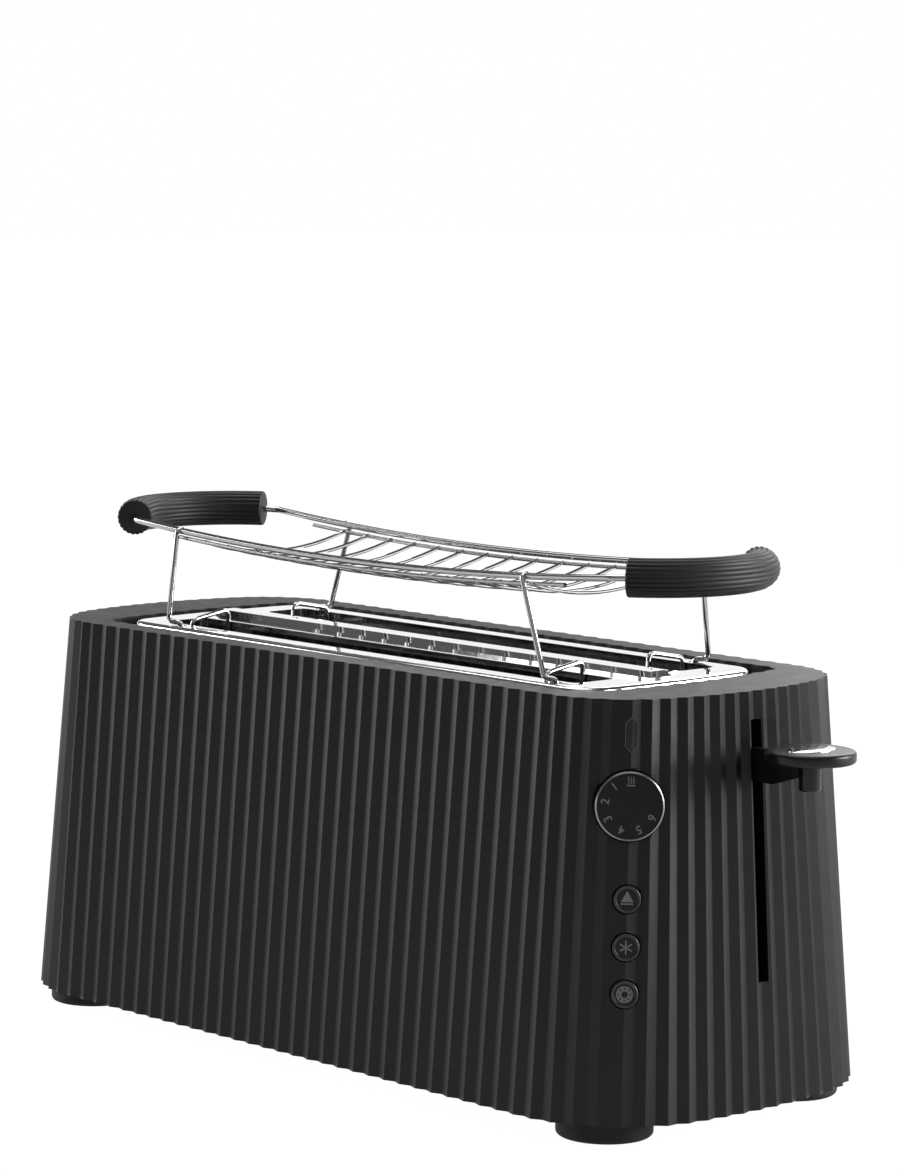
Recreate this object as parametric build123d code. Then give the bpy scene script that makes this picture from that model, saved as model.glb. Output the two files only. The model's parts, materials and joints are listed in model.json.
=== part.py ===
from build123d import *
import os
from math import atan2, cos, pi, radians, sin, sqrt

# Long-slot toaster with a pleated moulded casing and a lift-off bun warmer.
# Lengths are millimetres. X runs along the slots towards the lever, Y away from the
# control corner's long side, Z up from the surface that the feet stand on.

# Casing
CASE_HEIGHT = 175.0
TOP_LENGTH = 398.0
TOP_WIDTH = 149.2
TOP_CORNER_R = 41.0
TOP_END_R = 174.0
BASE_LENGTH = 422.0
BASE_WIDTH = 176.4
BASE_CORNER_R = 55.3
BASE_END_R = 292.0
PLEAT_PITCH = 10.0
PLEAT_DEPTH = 1.8
STRAIGHT_PLEATS = 15
END_PLEATS = 12.5
CONTROL_PLEAT = 5
CASE_WALL = 3.0
RIM_THICKNESS = 3.5
COLLAR_DEPTH = 14.0
COLLAR_WALL = 2.0

# Opening in the rim, and the top plate in it
OPENING_LENGTH = 328.0
OPENING_WIDTH = 123.0
OPENING_CORNER_R = 9.0
OPENING_END_R = 320.0
OPENING_PLEAT_DEPTH = 1.6
PLATE_LENGTH = 311.0
PLATE_WIDTH = 108.0
PLATE_CORNER_R = 13.0
PLATE_END_R = 420.0
PLATE_SHEET = 0.8
PLATE_EDGE_R = 2.4
PLATE_EDGE_DROP = 6.5
SLOT_LENGTH = 274.0
SLOT_WIDTH = 24.0
SLOT_SPACING = 62.0
SLOT_CORNER_R = 4.0
SLOT_LIP_DROP = 7.0
BAR_LENGTH = 292.0
BAR_WIDTH = 15.0
BAR_TOP_WIDTH = 9.0
BAR_RISE = 2.4

# Feet and base
FOOT_HEIGHT = 9.0
FOOT_R = 20.5
FOOT_INSET_X = 39.0
FOOT_INSET_Y = 31.0
FOOT_EDGE_R = 2.0
BASE_SHEET = 2.5
BASE_CLEARANCE = 0.4
BASE_RECESS = 2.0
BASE_LEAN = 0.3
VENT_COUNT = 5
VENT_PITCH = 22.0
VENT_LENGTH = 60.0
VENT_WIDTH = 5.0

# Carriage and lever
LEVER_SLOT_WIDTH = 6.2
LEVER_SLOT_TOP = 172.0
LEVER_SLOT_LENGTH = 110.0
CARRIAGE_TRAVEL = 80.0
ARM_THICKNESS = 4.4
ARM_HEIGHT = 14.0
ARM_TOP = 160.4
KNOB_R = 19.0
KNOB_THICKNESS = 5.2
KNOB_CENTRE_X = 231.0
KNOB_TOP = 163.0
KNOB_EDGE_R = 1.6
BOSS_R = 4.6
BOSS_DROP = 12.0
LEVER_NECK_X = 212.0
INLAY_LENGTH = 25.0
INLAY_WIDTH = 17.0
INLAY_RISE = 0.4
INLAY_SEAT = 1.0

# Toasting chamber
CHAMBER_LENGTH = 276.0
CHAMBER_WALL = 1.0
CHAMBER_WIDTH = 116.0
BOARD_SHEET = 1.2
BOARD_HEIGHT = 118.0
BOARD_BOTTOM = 36.0
BOARD_OFFSET = 18.5
RIBBON_PITCH = 13.0
RIBBON_WIDTH = 1.6
RIBBON_SHEET = 0.5
REFLECTOR_GAP = 3.0
REST_TOP = 112.0
REST_WIDTH = 9.0
REST_SHEET = 1.5
GUARD_OFFSET = 10.0
GUARD_BOTTOM = 28.0
GUARD_TOP = 172.0
GUARD_WIRE = 1.8
GUARD_UPRIGHT = 1.4
GUARD_GAPS = 10
GUARD_TILT = 3.0
HOOP_WIRE = 2.2
HOOP_X = 118.0
HOOP_RISE = 6.0

# Bun warmer
ROD_WIRE = 3.0
ROD_TURN_R = 9.0
ROD_BOW_R = 1400.0
BOW_STEP = 50.0
GRIP_SEAT = 8.0
THIN_WIRE = 1.8
RACK_HALF_WIDTH = 44.0
RACK_MIDDLE_Z = 223.8
RACK_END_RISE = 7.0
GRIP_R = 49.0
GRIP_HALF_ANGLE = 54.5
GRIP_END_X = 163.5
GRIP_THICKNESS = 16.6
GRIP_FLUTES = 18
FLUTE_DEPTH = 0.9
RACK_WIRE_DROP = 3.2
CROSS_WIRES = 14
CROSS_WIRE_PITCH = 16.5
CROSS_WIRE_SAG = 7.0
LEG_TOP_LEFT = 124.0
LEG_TOP_RIGHT = 107.0
LEG_FOOT_LEFT = 119.0
LEG_FOOT_RIGHT = 130.0
LEG_FOOT_Y = 47.5
LEG_BEND_LEFT = 126.0
LEG_BEND_RIGHT = 125.0
LEG_BEND_Y = 49.8
LEG_WIRE = 2.4
LEG_HOLE_GAP = 1.0
LEG_LIFT = 0.3
LEG_PIN = 5.0

# Controls on the corner
CONTROL_ANGLE = -41.0
DIAL_Z = 140.5
DIAL_R = 14.3
DIAL_DEPTH = 6.0
DIAL_CLEARANCE = 0.6
BUTTON_ZS = (102.5, 82.8, 63.6)
BUTTON_R = 5.7
BUTTON_DEPTH = 7.0
BUTTON_CLEARANCE = 0.5
BUTTON_TRAVEL = 2.5
LENS_Z = 169.6
LENS_WIDTH = 5.4
LENS_HEIGHT = 15.0
BOSS_WALL = 2.5
SHAFT_R = 3.0
DIAL_BEVEL = 0.8
DIAL_DISH = 0.5
BUTTON_PROUD = 0.6
DISH_R = 30.0
DISH_DEPTH = 0.5
SWITCH_SIZE = 6.2
SWITCH_HEIGHT = 4.0
CONTROL_BODY = 7.0
CONTROL_BOARD_WIDTH = 24.0
BOARD_RIB = 3.0
POWER_BOARD_Y = 12.0
POWER_BOARD_WIDTH = 46.0
POWER_BOARD_HEIGHT = 48.0
LENS_GAP = 0.05
LENS_PROUD = 0.7
LENS_SLOPE = 0.45
LAMP_R = 2.0
LAMP_LENGTH = 6.0

# Tray, gland and fastenings
TRAY_LENGTH = 336.0
TRAY_WIDTH = 104.0
TRAY_SHEET = 0.8
TRAY_WALL_HEIGHT = 7.0
TRAY_FRONT_HEIGHT = 13.0
TRAY_FLOOR_GAP = 0.4
TRAY_GAP = 0.6
GLAND_X = -120.0
GLAND_Z = 30.0
GLAND_R = 6.5
GLAND_BORE_R = 3.4
SCREW_R = 1.5
SCREW_HEAD_R = 3.2
SCREW_HEAD_HEIGHT = 1.8
SCREW_LENGTH = 12.0
BOSS_POST_R = 5.5
BOSS_POST_HEIGHT = 46.0
SCREW_XS = (-105.0, 0.0, 105.0)
SCREW_Y = 76.5

# Mechanism at the lever end
GUIDE_ROD_R = 2.5
GUIDE_GAP = 0.08
GUIDE_X = 154.0
GUIDE_Y = 24.0
BRACKET_X = 144.0
BRACKET_SHEET = 2.0
BRACKET_HEIGHT = 20.0
BRACKET_DROP = 6.0
BUSH_R = 5.0
SPRING_R = 4.0
SPRING_WIRE = 0.9
SPRING_Y = 40.0
MAGNET_SIZE = (14.0, 18.0)
ARMATURE_SHEET = 2.0
LATCH_GAP = 0.5

BASE_Z = FOOT_HEIGHT
RIM_Z = FOOT_HEIGHT + CASE_HEIGHT
BASE_PLATE_Z = BASE_Z + BASE_RECESS
FLOOR_Z = BASE_PLATE_Z + BASE_SHEET
PLATE_UNDER_Z = RIM_Z - PLATE_SHEET
BRIDGE_Z = RIM_Z - COLLAR_DEPTH - BRACKET_SHEET
SLOT_Y = SLOT_SPACING / 2
CHASSIS_X = CHAMBER_LENGTH / 2
CENTRE_X = (KNOB_CENTRE_X + KNOB_R - BASE_LENGTH / 2 - PLEAT_DEPTH / 2) / 2
TOP_PLAN = (TOP_LENGTH / 2, TOP_WIDTH / 2, TOP_CORNER_R, TOP_END_R)
BASE_PLAN = (BASE_LENGTH / 2, BASE_WIDTH / 2, BASE_CORNER_R, BASE_END_R)
OPENING_PLAN = (OPENING_LENGTH / 2, OPENING_WIDTH / 2, OPENING_CORNER_R, OPENING_END_R)
PLATE_PLAN = (PLATE_LENGTH / 2, PLATE_WIDTH / 2, PLATE_CORNER_R, PLATE_END_R)


def box(x0, x1, y0, y1, z0, z1):
    """A block between three pairs of planes."""
    middle = Pos((x0 + x1) / 2, (y0 + y1) / 2, (z0 + z1) / 2)
    return middle * Box(abs(x1 - x0), abs(y1 - y0), abs(z1 - z0))


def post(x, y, z0, z1, radius):
    """An upright cylinder."""
    return Pos(x, y, z0) * Cylinder(radius, z1 - z0, align=(Align.CENTER, Align.CENTER, Align.MIN))


def rod(start, end, radius):
    """A straight round bar between two points."""
    run = Vector(*end) - Vector(*start)
    return Plane(origin=start, z_dir=run) * Cylinder(
        radius, run.length, align=(Align.CENTER, Align.CENTER, Align.MIN))


def bent_wire(points, radius, bends):
    """A round wire along straight runs joined by tangent arcs."""
    path = FilletPolyline(*points, radius=bends)
    section = Plane(origin=path @ 0, z_dir=path % 0) * Circle(radius)
    return sweep(section, path)


def corner_centre(plan):
    """Centre of a plan's corner arc and half the angle of its end arc."""
    half_length, half_width, corner_r, end_r = plan
    corner_y = half_width - corner_r
    reach = end_r - corner_r
    run = sqrt(reach ** 2 - corner_y ** 2)
    return half_length - end_r + run, corner_y, atan2(corner_y, run)


def plan_face(plan, inset=0.0):
    """The rounded plan outline as a face, drawn in by an inset."""
    half_length, half_width, corner_r, end_r = plan
    cx, cy, swing = corner_centre(plan)
    radius = corner_r - inset
    side = half_width - inset
    end = half_length - inset
    join = (cx + radius * cos(swing), cy + radius * sin(swing))
    middle = (pi / 2 + swing) / 2
    bulge = (cx + radius * cos(middle), cy + radius * sin(middle))
    edges = []
    for sx in (1, -1):
        edges.append(ThreePointArc((sx * join[0], -join[1]), (sx * end, 0), (sx * join[0], join[1])))
        for sy in (1, -1):
            edges.append(ThreePointArc((sx * cx, sy * side), (sx * bulge[0], sy * bulge[1]),
                                       (sx * join[0], sy * join[1])))
    for sy in (1, -1):
        edges.append(Line((-cx, sy * side), (cx, sy * side)))
    return make_face(Wire(edges))


def quarter_length(plan):
    """Length of the outline from the middle of a side to the middle of an end."""
    cx, _, swing = corner_centre(plan)
    return cx + plan[2] * (pi / 2 - swing) + plan[3] * swing


def quarter_point(plan, distance, offset):
    """Point on the outline's quarter x > 0, y < 0, moved outwards by an offset."""
    half_length, half_width, corner_r, end_r = plan
    cx, cy, swing = corner_centre(plan)
    corner_run = corner_r * (pi / 2 - swing)
    if distance <= cx:
        return distance, -half_width - offset
    if distance <= cx + corner_run:
        angle = -pi / 2 + (distance - cx) / corner_r
        return cx + (corner_r + offset) * cos(angle), -cy + (corner_r + offset) * sin(angle)
    angle = -swing + (distance - cx - corner_run) / end_r
    return half_length - end_r + (end_r + offset) * cos(angle), (end_r + offset) * sin(angle)


def pleat_steps(plan, straight, ends):
    """Distances of ridges and valleys along a quarter, half a pleat apart."""
    start = straight * PLEAT_PITCH
    end_step = (quarter_length(plan) - start) / ends / 2
    side_steps = [PLEAT_PITCH / 2 * k for k in range(2 * straight + 1)]
    return side_steps + [start + end_step * k for k in range(1, int(2 * ends) + 1)]


def pleated_face(plan, straight, ends, depth, flat_valley=None):
    """Zigzag outline of the plan as a face; one valley may be left out."""
    quarter = []
    for k, distance in enumerate(pleat_steps(plan, straight, ends)):
        quarter.append(quarter_point(plan, distance, depth / 2 if k % 2 == 0 else -depth / 2))
    near_right = [p for k, p in enumerate(quarter) if k != flat_valley]
    far_right = [(x, -y) for x, y in reversed(quarter[:-1])]
    far_left = [(-x, -y) for x, y in quarter[1:]]
    near_left = [(-x, y) for x, y in reversed(quarter[1:-1])]
    ring = near_right + far_right + far_left + near_left
    return make_face(Polyline(*ring, close=True))


def ridge_point(z):
    """Corner ridge that carries the controls, at a height."""
    share = (RIM_Z - z) / CASE_HEIGHT
    ends = []
    for plan in (TOP_PLAN, BASE_PLAN):
        step = pleat_steps(plan, STRAIGHT_PLEATS, END_PLEATS)[2 * (STRAIGHT_PLEATS + CONTROL_PLEAT)]
        ends.append(quarter_point(plan, step, PLEAT_DEPTH / 2))
    (x0, y0), (x1, y1) = ends
    return Vector(x0 + (x1 - x0) * share, y0 + (y1 - y0) * share, z)


def control_plane(z):
    """Plane on the control ridge, facing outwards, with its Y up the ridge."""
    up = (ridge_point(RIM_Z) - ridge_point(BASE_Z)).normalized()
    outward = Vector(cos(radians(CONTROL_ANGLE)), sin(radians(CONTROL_ANGLE)), 0)
    right = up.cross(outward).normalized()
    return Plane(origin=ridge_point(z), x_dir=right, z_dir=right.cross(up))


def casing_skin():
    """Outer pleated form of the casing, straight pleats from base to rim."""
    valley = 2 * (STRAIGHT_PLEATS + CONTROL_PLEAT) - 1
    base = pleated_face(BASE_PLAN, STRAIGHT_PLEATS, END_PLEATS, PLEAT_DEPTH, valley)
    rim = pleated_face(TOP_PLAN, STRAIGHT_PLEATS, END_PLEATS, PLEAT_DEPTH, valley)
    return loft([Pos(0, 0, BASE_Z) * base, Pos(0, 0, RIM_Z) * rim], ruled=True)


def casing_cavity():
    """Smooth inside of the casing."""
    inset = CASE_WALL + PLEAT_DEPTH / 2
    low = Pos(0, 0, BASE_Z) * plan_face(BASE_PLAN, inset)
    high = Pos(0, 0, RIM_Z - RIM_THICKNESS) * plan_face(TOP_PLAN, inset)
    return loft([low, high], ruled=True)


def opening_prism():
    """The pleated opening in the rim."""
    ends = int(quarter_length(OPENING_PLAN) / PLEAT_PITCH) - STRAIGHT_PLEATS + 0.5
    outline = pleated_face(OPENING_PLAN, STRAIGHT_PLEATS, ends, OPENING_PLEAT_DEPTH)
    return Pos(0, 0, RIM_Z - COLLAR_DEPTH) * extrude(outline, COLLAR_DEPTH)


def control_boss(z, radius, depth):
    """Round boss behind a control, inside the corner."""
    return control_plane(z) * Pos(0, 0, -depth) * Cylinder(
        radius + BOSS_WALL, depth - PLEAT_DEPTH, align=(Align.CENTER, Align.CENTER, Align.MIN))


def control_bore(z, radius, depth):
    """Cylinder that opens outwards from a depth behind the ridge."""
    return control_plane(z) * Pos(0, 0, -depth) * Cylinder(
        radius, depth + DIAL_R, align=(Align.CENTER, Align.CENTER, Align.MIN))


def lens_outline(grow=0.0):
    """Upright pointed hexagon of the indicator lens."""
    half = LENS_WIDTH / 2 + grow
    tip = LENS_HEIGHT / 2 + grow
    shoulder = tip - half
    points = [(half, shoulder), (0, tip), (-half, shoulder), (-half, -shoulder), (0, -tip),
              (half, -shoulder)]
    return make_face(Polyline(*points, close=True))


def casing():
    """One moulded shell with its collar, screw posts and control bosses."""
    skin = casing_skin()
    cavity = casing_cavity()
    shell = skin - cavity
    collar = extrude(plan_face(OPENING_PLAN, -COLLAR_WALL - OPENING_PLEAT_DEPTH / 2), -COLLAR_DEPTH)
    shell += Pos(0, 0, RIM_Z) * collar
    shell -= opening_prism()
    posts = [post(x, sy * SCREW_Y, FLOOR_Z, FLOOR_Z + BOSS_POST_HEIGHT, BOSS_POST_R)
             for x in SCREW_XS for sy in (1, -1)]
    shell += [p & skin for p in posts]
    bosses = [control_boss(DIAL_Z, DIAL_R, DIAL_DEPTH + BOSS_WALL)]
    bosses += [control_boss(z, BUTTON_R, BUTTON_DEPTH + BOSS_WALL) for z in BUTTON_ZS]
    shell += [b & skin for b in bosses + board_ribs()]
    for x in SCREW_XS:
        for sy in (1, -1):
            shell -= post(x, sy * SCREW_Y, FLOOR_Z, FLOOR_Z + SCREW_LENGTH, SCREW_R)
    shell -= control_bore(DIAL_Z, DIAL_R + DIAL_CLEARANCE, DIAL_DEPTH)
    shell -= control_bore(DIAL_Z, SHAFT_R + 2 * GUIDE_GAP, DIAL_DEPTH + 2 * BOSS_WALL)
    for z in BUTTON_ZS:
        shell -= control_bore(z, BUTTON_R + BUTTON_CLEARANCE, BUTTON_DEPTH + 2 * BOSS_WALL)
    shell -= control_plane(LENS_Z) * Pos(0, 0, -2 * CASE_WALL) * extrude(lens_outline(), 3 * CASE_WALL)
    shell -= box(CHASSIS_X + 2 * BUSH_R, BASE_LENGTH, -LEVER_SLOT_WIDTH / 2, LEVER_SLOT_WIDTH / 2,
                 LEVER_SLOT_TOP - LEVER_SLOT_LENGTH, LEVER_SLOT_TOP)
    shell -= tray_mouth(TRAY_GAP)
    shell -= gland_bore(GLAND_R)
    return shell


def tray_mouth(gap):
    """Block that cuts the tray front out of the end of the casing."""
    half = TRAY_WIDTH / 2 + gap
    low = FLOOR_Z + TRAY_GAP - gap
    return box(-BASE_LENGTH, -BASE_LENGTH / 2 + 4 * CASE_WALL, -half, half, low,
               FLOOR_Z + TRAY_GAP + TRAY_FRONT_HEIGHT + gap)


def gland_bore(radius):
    """Bore through the far wall for the cord gland."""
    return rod((GLAND_X, BASE_WIDTH / 2 - 3 * CASE_WALL, GLAND_Z), (GLAND_X, BASE_WIDTH, GLAND_Z), radius)


def top_plate():
    """Polished sheet with rolled edge, two lipped slots and the bar between them."""
    drop = PLATE_EDGE_DROP
    blank = Pos(0, 0, RIM_Z - drop) * extrude(plan_face(PLATE_PLAN), drop)
    blank = fillet(blank.faces().sort_by(Axis.Z)[-1].edges(), PLATE_EDGE_R)
    hollow = Pos(0, 0, RIM_Z - drop) * extrude(plan_face(PLATE_PLAN, PLATE_SHEET), drop - PLATE_SHEET)
    hollow = fillet(hollow.faces().sort_by(Axis.Z)[-1].edges(), PLATE_EDGE_R - PLATE_SHEET)
    sheet = blank - hollow
    for sy in (1, -1):
        lip = slot_prism(SLOT_LIP_DROP, PLATE_SHEET)
        sheet += Pos(0, sy * SLOT_Y, RIM_Z - SLOT_LIP_DROP) * lip
        sheet -= Pos(0, sy * SLOT_Y, RIM_Z - SLOT_LIP_DROP) * slot_prism(SLOT_LIP_DROP + BAR_RISE, 0)
    sheet += centre_bar()
    for x, y in leg_holes():
        sheet -= post(x, y, RIM_Z - drop, RIM_Z + drop, LEG_WIRE / 2 + LEG_HOLE_GAP)
    return sheet


def slot_prism(height, grow):
    """Bread slot outline, grown on all sides, as a prism."""
    outline = RectangleRounded(SLOT_LENGTH + 2 * grow, SLOT_WIDTH + 2 * grow, SLOT_CORNER_R + grow)
    return extrude(outline, height)


def centre_bar():
    """Raised bar between the slots with sloping sides."""
    foot = Pos(0, 0, PLATE_UNDER_Z) * Rectangle(BAR_LENGTH, BAR_WIDTH)
    crest = Pos(0, 0, RIM_Z + BAR_RISE) * Rectangle(BAR_LENGTH - BAR_WIDTH + BAR_TOP_WIDTH, BAR_TOP_WIDTH)
    return loft([foot, crest], ruled=True)


def leg_holes():
    """Holes in the plate for the feet of the bun warmer, alike after half a turn."""
    spots = [(-LEG_FOOT_LEFT, -LEG_FOOT_Y), (LEG_FOOT_RIGHT, -LEG_FOOT_Y)]
    return spots + [(-x, -y) for x, y in spots]


def base_plate():
    """Flat cover in the bottom of the casing, with vents and tray runners."""
    inset = CASE_WALL + PLEAT_DEPTH / 2 + BASE_CLEARANCE
    plate = Pos(0, 0, BASE_PLATE_Z) * extrude(plan_face(BASE_PLAN, inset + BASE_LEAN), BASE_SHEET)
    for k in range(-VENT_COUNT, VENT_COUNT + 1):
        plate -= Pos(k * VENT_PITCH, 0, BASE_Z) * extrude(SlotOverall(VENT_LENGTH, VENT_WIDTH, rotation=90),
                                                         2 * BASE_SHEET)
    for x in SCREW_XS:
        for sy in (1, -1):
            plate -= post(x, sy * SCREW_Y, BASE_Z, FLOOR_Z, SCREW_R + GUIDE_GAP)
    for sy in (1, -1):
        low = sy * (TRAY_WIDTH / 2 + TRAY_GAP)
        plate += box(-TRAY_LENGTH / 2, CHASSIS_X - TRAY_GAP, low, low + sy * TRAY_SHEET, FLOOR_Z,
                     FLOOR_Z + TRAY_WALL_HEIGHT)
    return plate


def foot(sx, sy):
    """Round foot under a corner of the base plate."""
    x = sx * (BASE_LENGTH / 2 - FOOT_INSET_X)
    y = sy * (BASE_WIDTH / 2 - FOOT_INSET_Y)
    body = post(x, y, 0, BASE_PLATE_Z, FOOT_R)
    return fillet(body.edges().sort_by(Axis.Z)[0], FOOT_EDGE_R)


def base_screws():
    """Pan-head screws that hold the base plate to the casing's posts."""
    screws = []
    for x in SCREW_XS:
        for sy in (1, -1):
            head = post(x, sy * SCREW_Y, BASE_PLATE_Z - SCREW_HEAD_HEIGHT, BASE_PLATE_Z, SCREW_HEAD_R)
            head = fillet(head.edges().sort_by(Axis.Z)[0], SCREW_HEAD_HEIGHT / 3)
            screws.append(head + post(x, sy * SCREW_Y, BASE_PLATE_Z, FLOOR_Z + SCREW_LENGTH - 1, SCREW_R))
    return Compound(screws)


def cord_gland():
    """Rubber bush in the far wall with a plain bore."""
    wall_y = BASE_WIDTH / 2 - (BASE_WIDTH - TOP_WIDTH) / 2 * (GLAND_Z - BASE_Z) / CASE_HEIGHT
    inner = (GLAND_X, wall_y - 2.5 * CASE_WALL, GLAND_Z)
    outer = (GLAND_X, wall_y + PLEAT_DEPTH / 2, GLAND_Z)
    flange = (GLAND_X, wall_y - 1.8 * CASE_WALL, GLAND_Z)
    bush = rod(inner, outer, GLAND_R) + rod(inner, flange, GLAND_R + CASE_WALL)
    return bush - rod(inner, outer, GLAND_BORE_R)


def chassis_end(side):
    """Upright steel plate at one end of the toasting chamber."""
    x0 = side * CHASSIS_X
    x1 = x0 + side * CHAMBER_WALL
    half = CHAMBER_WIDTH / 2
    plate = box(x0, x1, -half, half, FLOOR_Z, PLATE_UNDER_Z)
    mouth = TRAY_WIDTH / 2 + 2 * TRAY_GAP + TRAY_SHEET
    for sy in (1, -1):
        plate += box(x1, x1 + side * 2 * BUSH_R, sy * (mouth + TRAY_GAP), sy * half, FLOOR_Z, FLOOR_Z + CHAMBER_WALL)
        plate -= box(x0, x1, sy * (PLATE_WIDTH / 2 - 2 * PLATE_EDGE_R), sy * half,
                     RIM_Z - COLLAR_DEPTH - TRAY_GAP, RIM_Z)
    low = REST_TOP - REST_SHEET - CARRIAGE_TRAVEL - TRAY_GAP
    for sy in (1, -1):
        middle = sy * SLOT_Y
        plate -= box(x0, x1, middle - REST_WIDTH / 2 - TRAY_GAP, middle + REST_WIDTH / 2 + TRAY_GAP,
                     low, REST_TOP + TRAY_GAP)
        for offset in (-GUARD_OFFSET, GUARD_OFFSET):
            plate -= rod((x0, middle + offset, GUARD_BOTTOM), (x1, middle + offset, GUARD_BOTTOM),
                         GUARD_WIRE / 2 + GUIDE_GAP)
    if side < 0:
        plate -= box(x0, x1, -mouth, mouth, FLOOR_Z, FLOOR_Z + TRAY_WALL_HEIGHT + TRAY_GAP)
    return plate


def reflector(side):
    """Polished sheet outside an outer heater board, between the end plates."""
    y0 = side * (SLOT_Y + BOARD_OFFSET + REFLECTOR_GAP)
    y1 = y0 + side * CHAMBER_WALL
    sheet = box(-CHASSIS_X, CHASSIS_X, y0, y1, BOARD_BOTTOM, GUARD_TOP)
    flange = box(-CHASSIS_X, CHASSIS_X, y1, y1 + side * 2 * CHAMBER_WALL, BOARD_BOTTOM,
                 BOARD_BOTTOM + CHAMBER_WALL)
    return sheet + flange


def board_y(side, place):
    """Middle of a heater board: place is 1 outside a slot and -1 inside it."""
    return side * (SLOT_Y + place * BOARD_OFFSET)


def heater_board(side, place):
    """Mica sheet held at both ends by the chassis."""
    y = board_y(side, place)
    board = box(-CHASSIS_X, CHASSIS_X, y - BOARD_SHEET / 2, y + BOARD_SHEET / 2, BOARD_BOTTOM,
                BOARD_BOTTOM + BOARD_HEIGHT)
    return board


def ribbon(side, place):
    """Flat heating ribbon on the bread side of a board, up and down in one run."""
    face = board_y(side, place) - side * place * BOARD_SHEET / 2
    y0, y1 = sorted((face, face - side * place * RIBBON_SHEET))
    low = BOARD_BOTTOM + RIBBON_PITCH / 2
    high = BOARD_BOTTOM + BOARD_HEIGHT - RIBBON_PITCH / 2
    count = int(CHAMBER_LENGTH / RIBBON_PITCH) - 1
    start = -RIBBON_PITCH * (count - 1) / 2
    strip = None
    for k in range(count):
        x = start + k * RIBBON_PITCH
        run = box(x - RIBBON_WIDTH / 2, x + RIBBON_WIDTH / 2, y0, y1, low, high)
        strip = run if strip is None else strip + run
        if k < count - 1:
            z = high if k % 2 == 0 else low + RIBBON_WIDTH
            strip += box(x - RIBBON_WIDTH / 2, x + RIBBON_PITCH, y0, y1, z - RIBBON_WIDTH, z)
    return strip


def bread_guard(side, place):
    """Wire frame beside the bread, hinged on its bottom rod."""
    y = side * SLOT_Y + side * place * GUARD_OFFSET
    radius = GUARD_WIRE / 2
    pin = CHASSIS_X + 2 * CHAMBER_WALL
    half = CHASSIS_X - 2 * GUARD_WIRE
    frame = rod((-pin, y, GUARD_BOTTOM), (pin, y, GUARD_BOTTOM), radius)
    frame += rod((-half, y, GUARD_TOP), (half, y, GUARD_TOP), radius)
    for k in range(GUARD_GAPS + 1):
        x = (half - GUARD_WIRE) * (2 * k / GUARD_GAPS - 1)
        frame += rod((x, y, GUARD_BOTTOM), (x, y, GUARD_TOP), GUARD_UPRIGHT / 2)
    return frame


def end_hoop(x, side):
    """Wire that rises from a slot's outer edge and bends down at its inner edge."""
    outer = side * (SLOT_Y + SLOT_WIDTH / 2 - HOOP_WIRE / 2)
    inner = side * (SLOT_Y - SLOT_WIDTH / 2 + HOOP_WIRE / 2)
    low = RIM_Z - SLOT_LIP_DROP
    points = [(x, outer, low), (x, outer, RIM_Z + HOOP_WIRE), (x, inner, RIM_Z + HOOP_RISE), (x, inner, low)]
    return bent_wire(points, HOOP_WIRE / 2, [1.5 * HOOP_WIRE, 1.5 * HOOP_WIRE])


def carriage_bracket():
    """Plate that slides on the guide rods and carries both bread rests."""
    low = REST_TOP - BRACKET_DROP
    top = low + BRACKET_HEIGHT
    half = SLOT_Y + REST_WIDTH / 2
    plate = box(BRACKET_X, BRACKET_X + BRACKET_SHEET, -half, half, low, top)
    plate += box(BRACKET_X, BRACKET_X + BRACKET_SHEET, -ARM_HEIGHT, ARM_HEIGHT, top, ARM_TOP)
    plate += box(BRACKET_X, BRACKET_X + MAGNET_SIZE[0] + BRACKET_SHEET, -MAGNET_SIZE[1] / 2,
                 MAGNET_SIZE[1] / 2, low, low + BRACKET_SHEET)
    for sy in (1, -1):
        plate += box(BRACKET_X, GUIDE_X, sy * GUIDE_Y - BUSH_R, sy * GUIDE_Y + BUSH_R, low, top)
        plate += post(GUIDE_X, sy * GUIDE_Y, low, top, BUSH_R)
        plate -= post(GUIDE_X, sy * GUIDE_Y, low, top, GUIDE_ROD_R + GUIDE_GAP)
        ear = box(BRACKET_X, GUIDE_X, sy * SPRING_Y, sy * (SPRING_Y - 2 * SPRING_R), top - BRACKET_SHEET, top)
        plate += ear
    return plate


def bread_rest(side):
    """Long strip under the bread, through slots in both end plates."""
    y = side * SLOT_Y
    return box(-CHASSIS_X - 3 * BRACKET_SHEET, BRACKET_X, y - REST_WIDTH / 2, y + REST_WIDTH / 2,
               REST_TOP - REST_SHEET, REST_TOP)


def guide_rod(side):
    """Upright rod from the base plate to the bridge."""
    return post(GUIDE_X, side * GUIDE_Y, FLOOR_Z, BRIDGE_Z, GUIDE_ROD_R)


def rod_bridge():
    """Strip that ties the tops of the guide rods and the spring to the chassis."""
    x0 = CHASSIS_X + CHAMBER_WALL
    half = SPRING_Y + SPRING_R
    return box(x0, GUIDE_X + BUSH_R, -half, half, BRIDGE_Z, BRIDGE_Z + BRACKET_SHEET)


def return_spring():
    """Spring between the carriage and the bridge, as a closed sleeve."""
    y = SPRING_Y - SPRING_R
    low = REST_TOP - BRACKET_DROP + BRACKET_HEIGHT
    high = BRIDGE_Z
    x = BRACKET_X + BRACKET_SHEET + SPRING_R
    sleeve = post(x, y, low, high, SPRING_R) - post(x, y, low, high, SPRING_R - SPRING_WIRE)
    return sleeve


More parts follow.
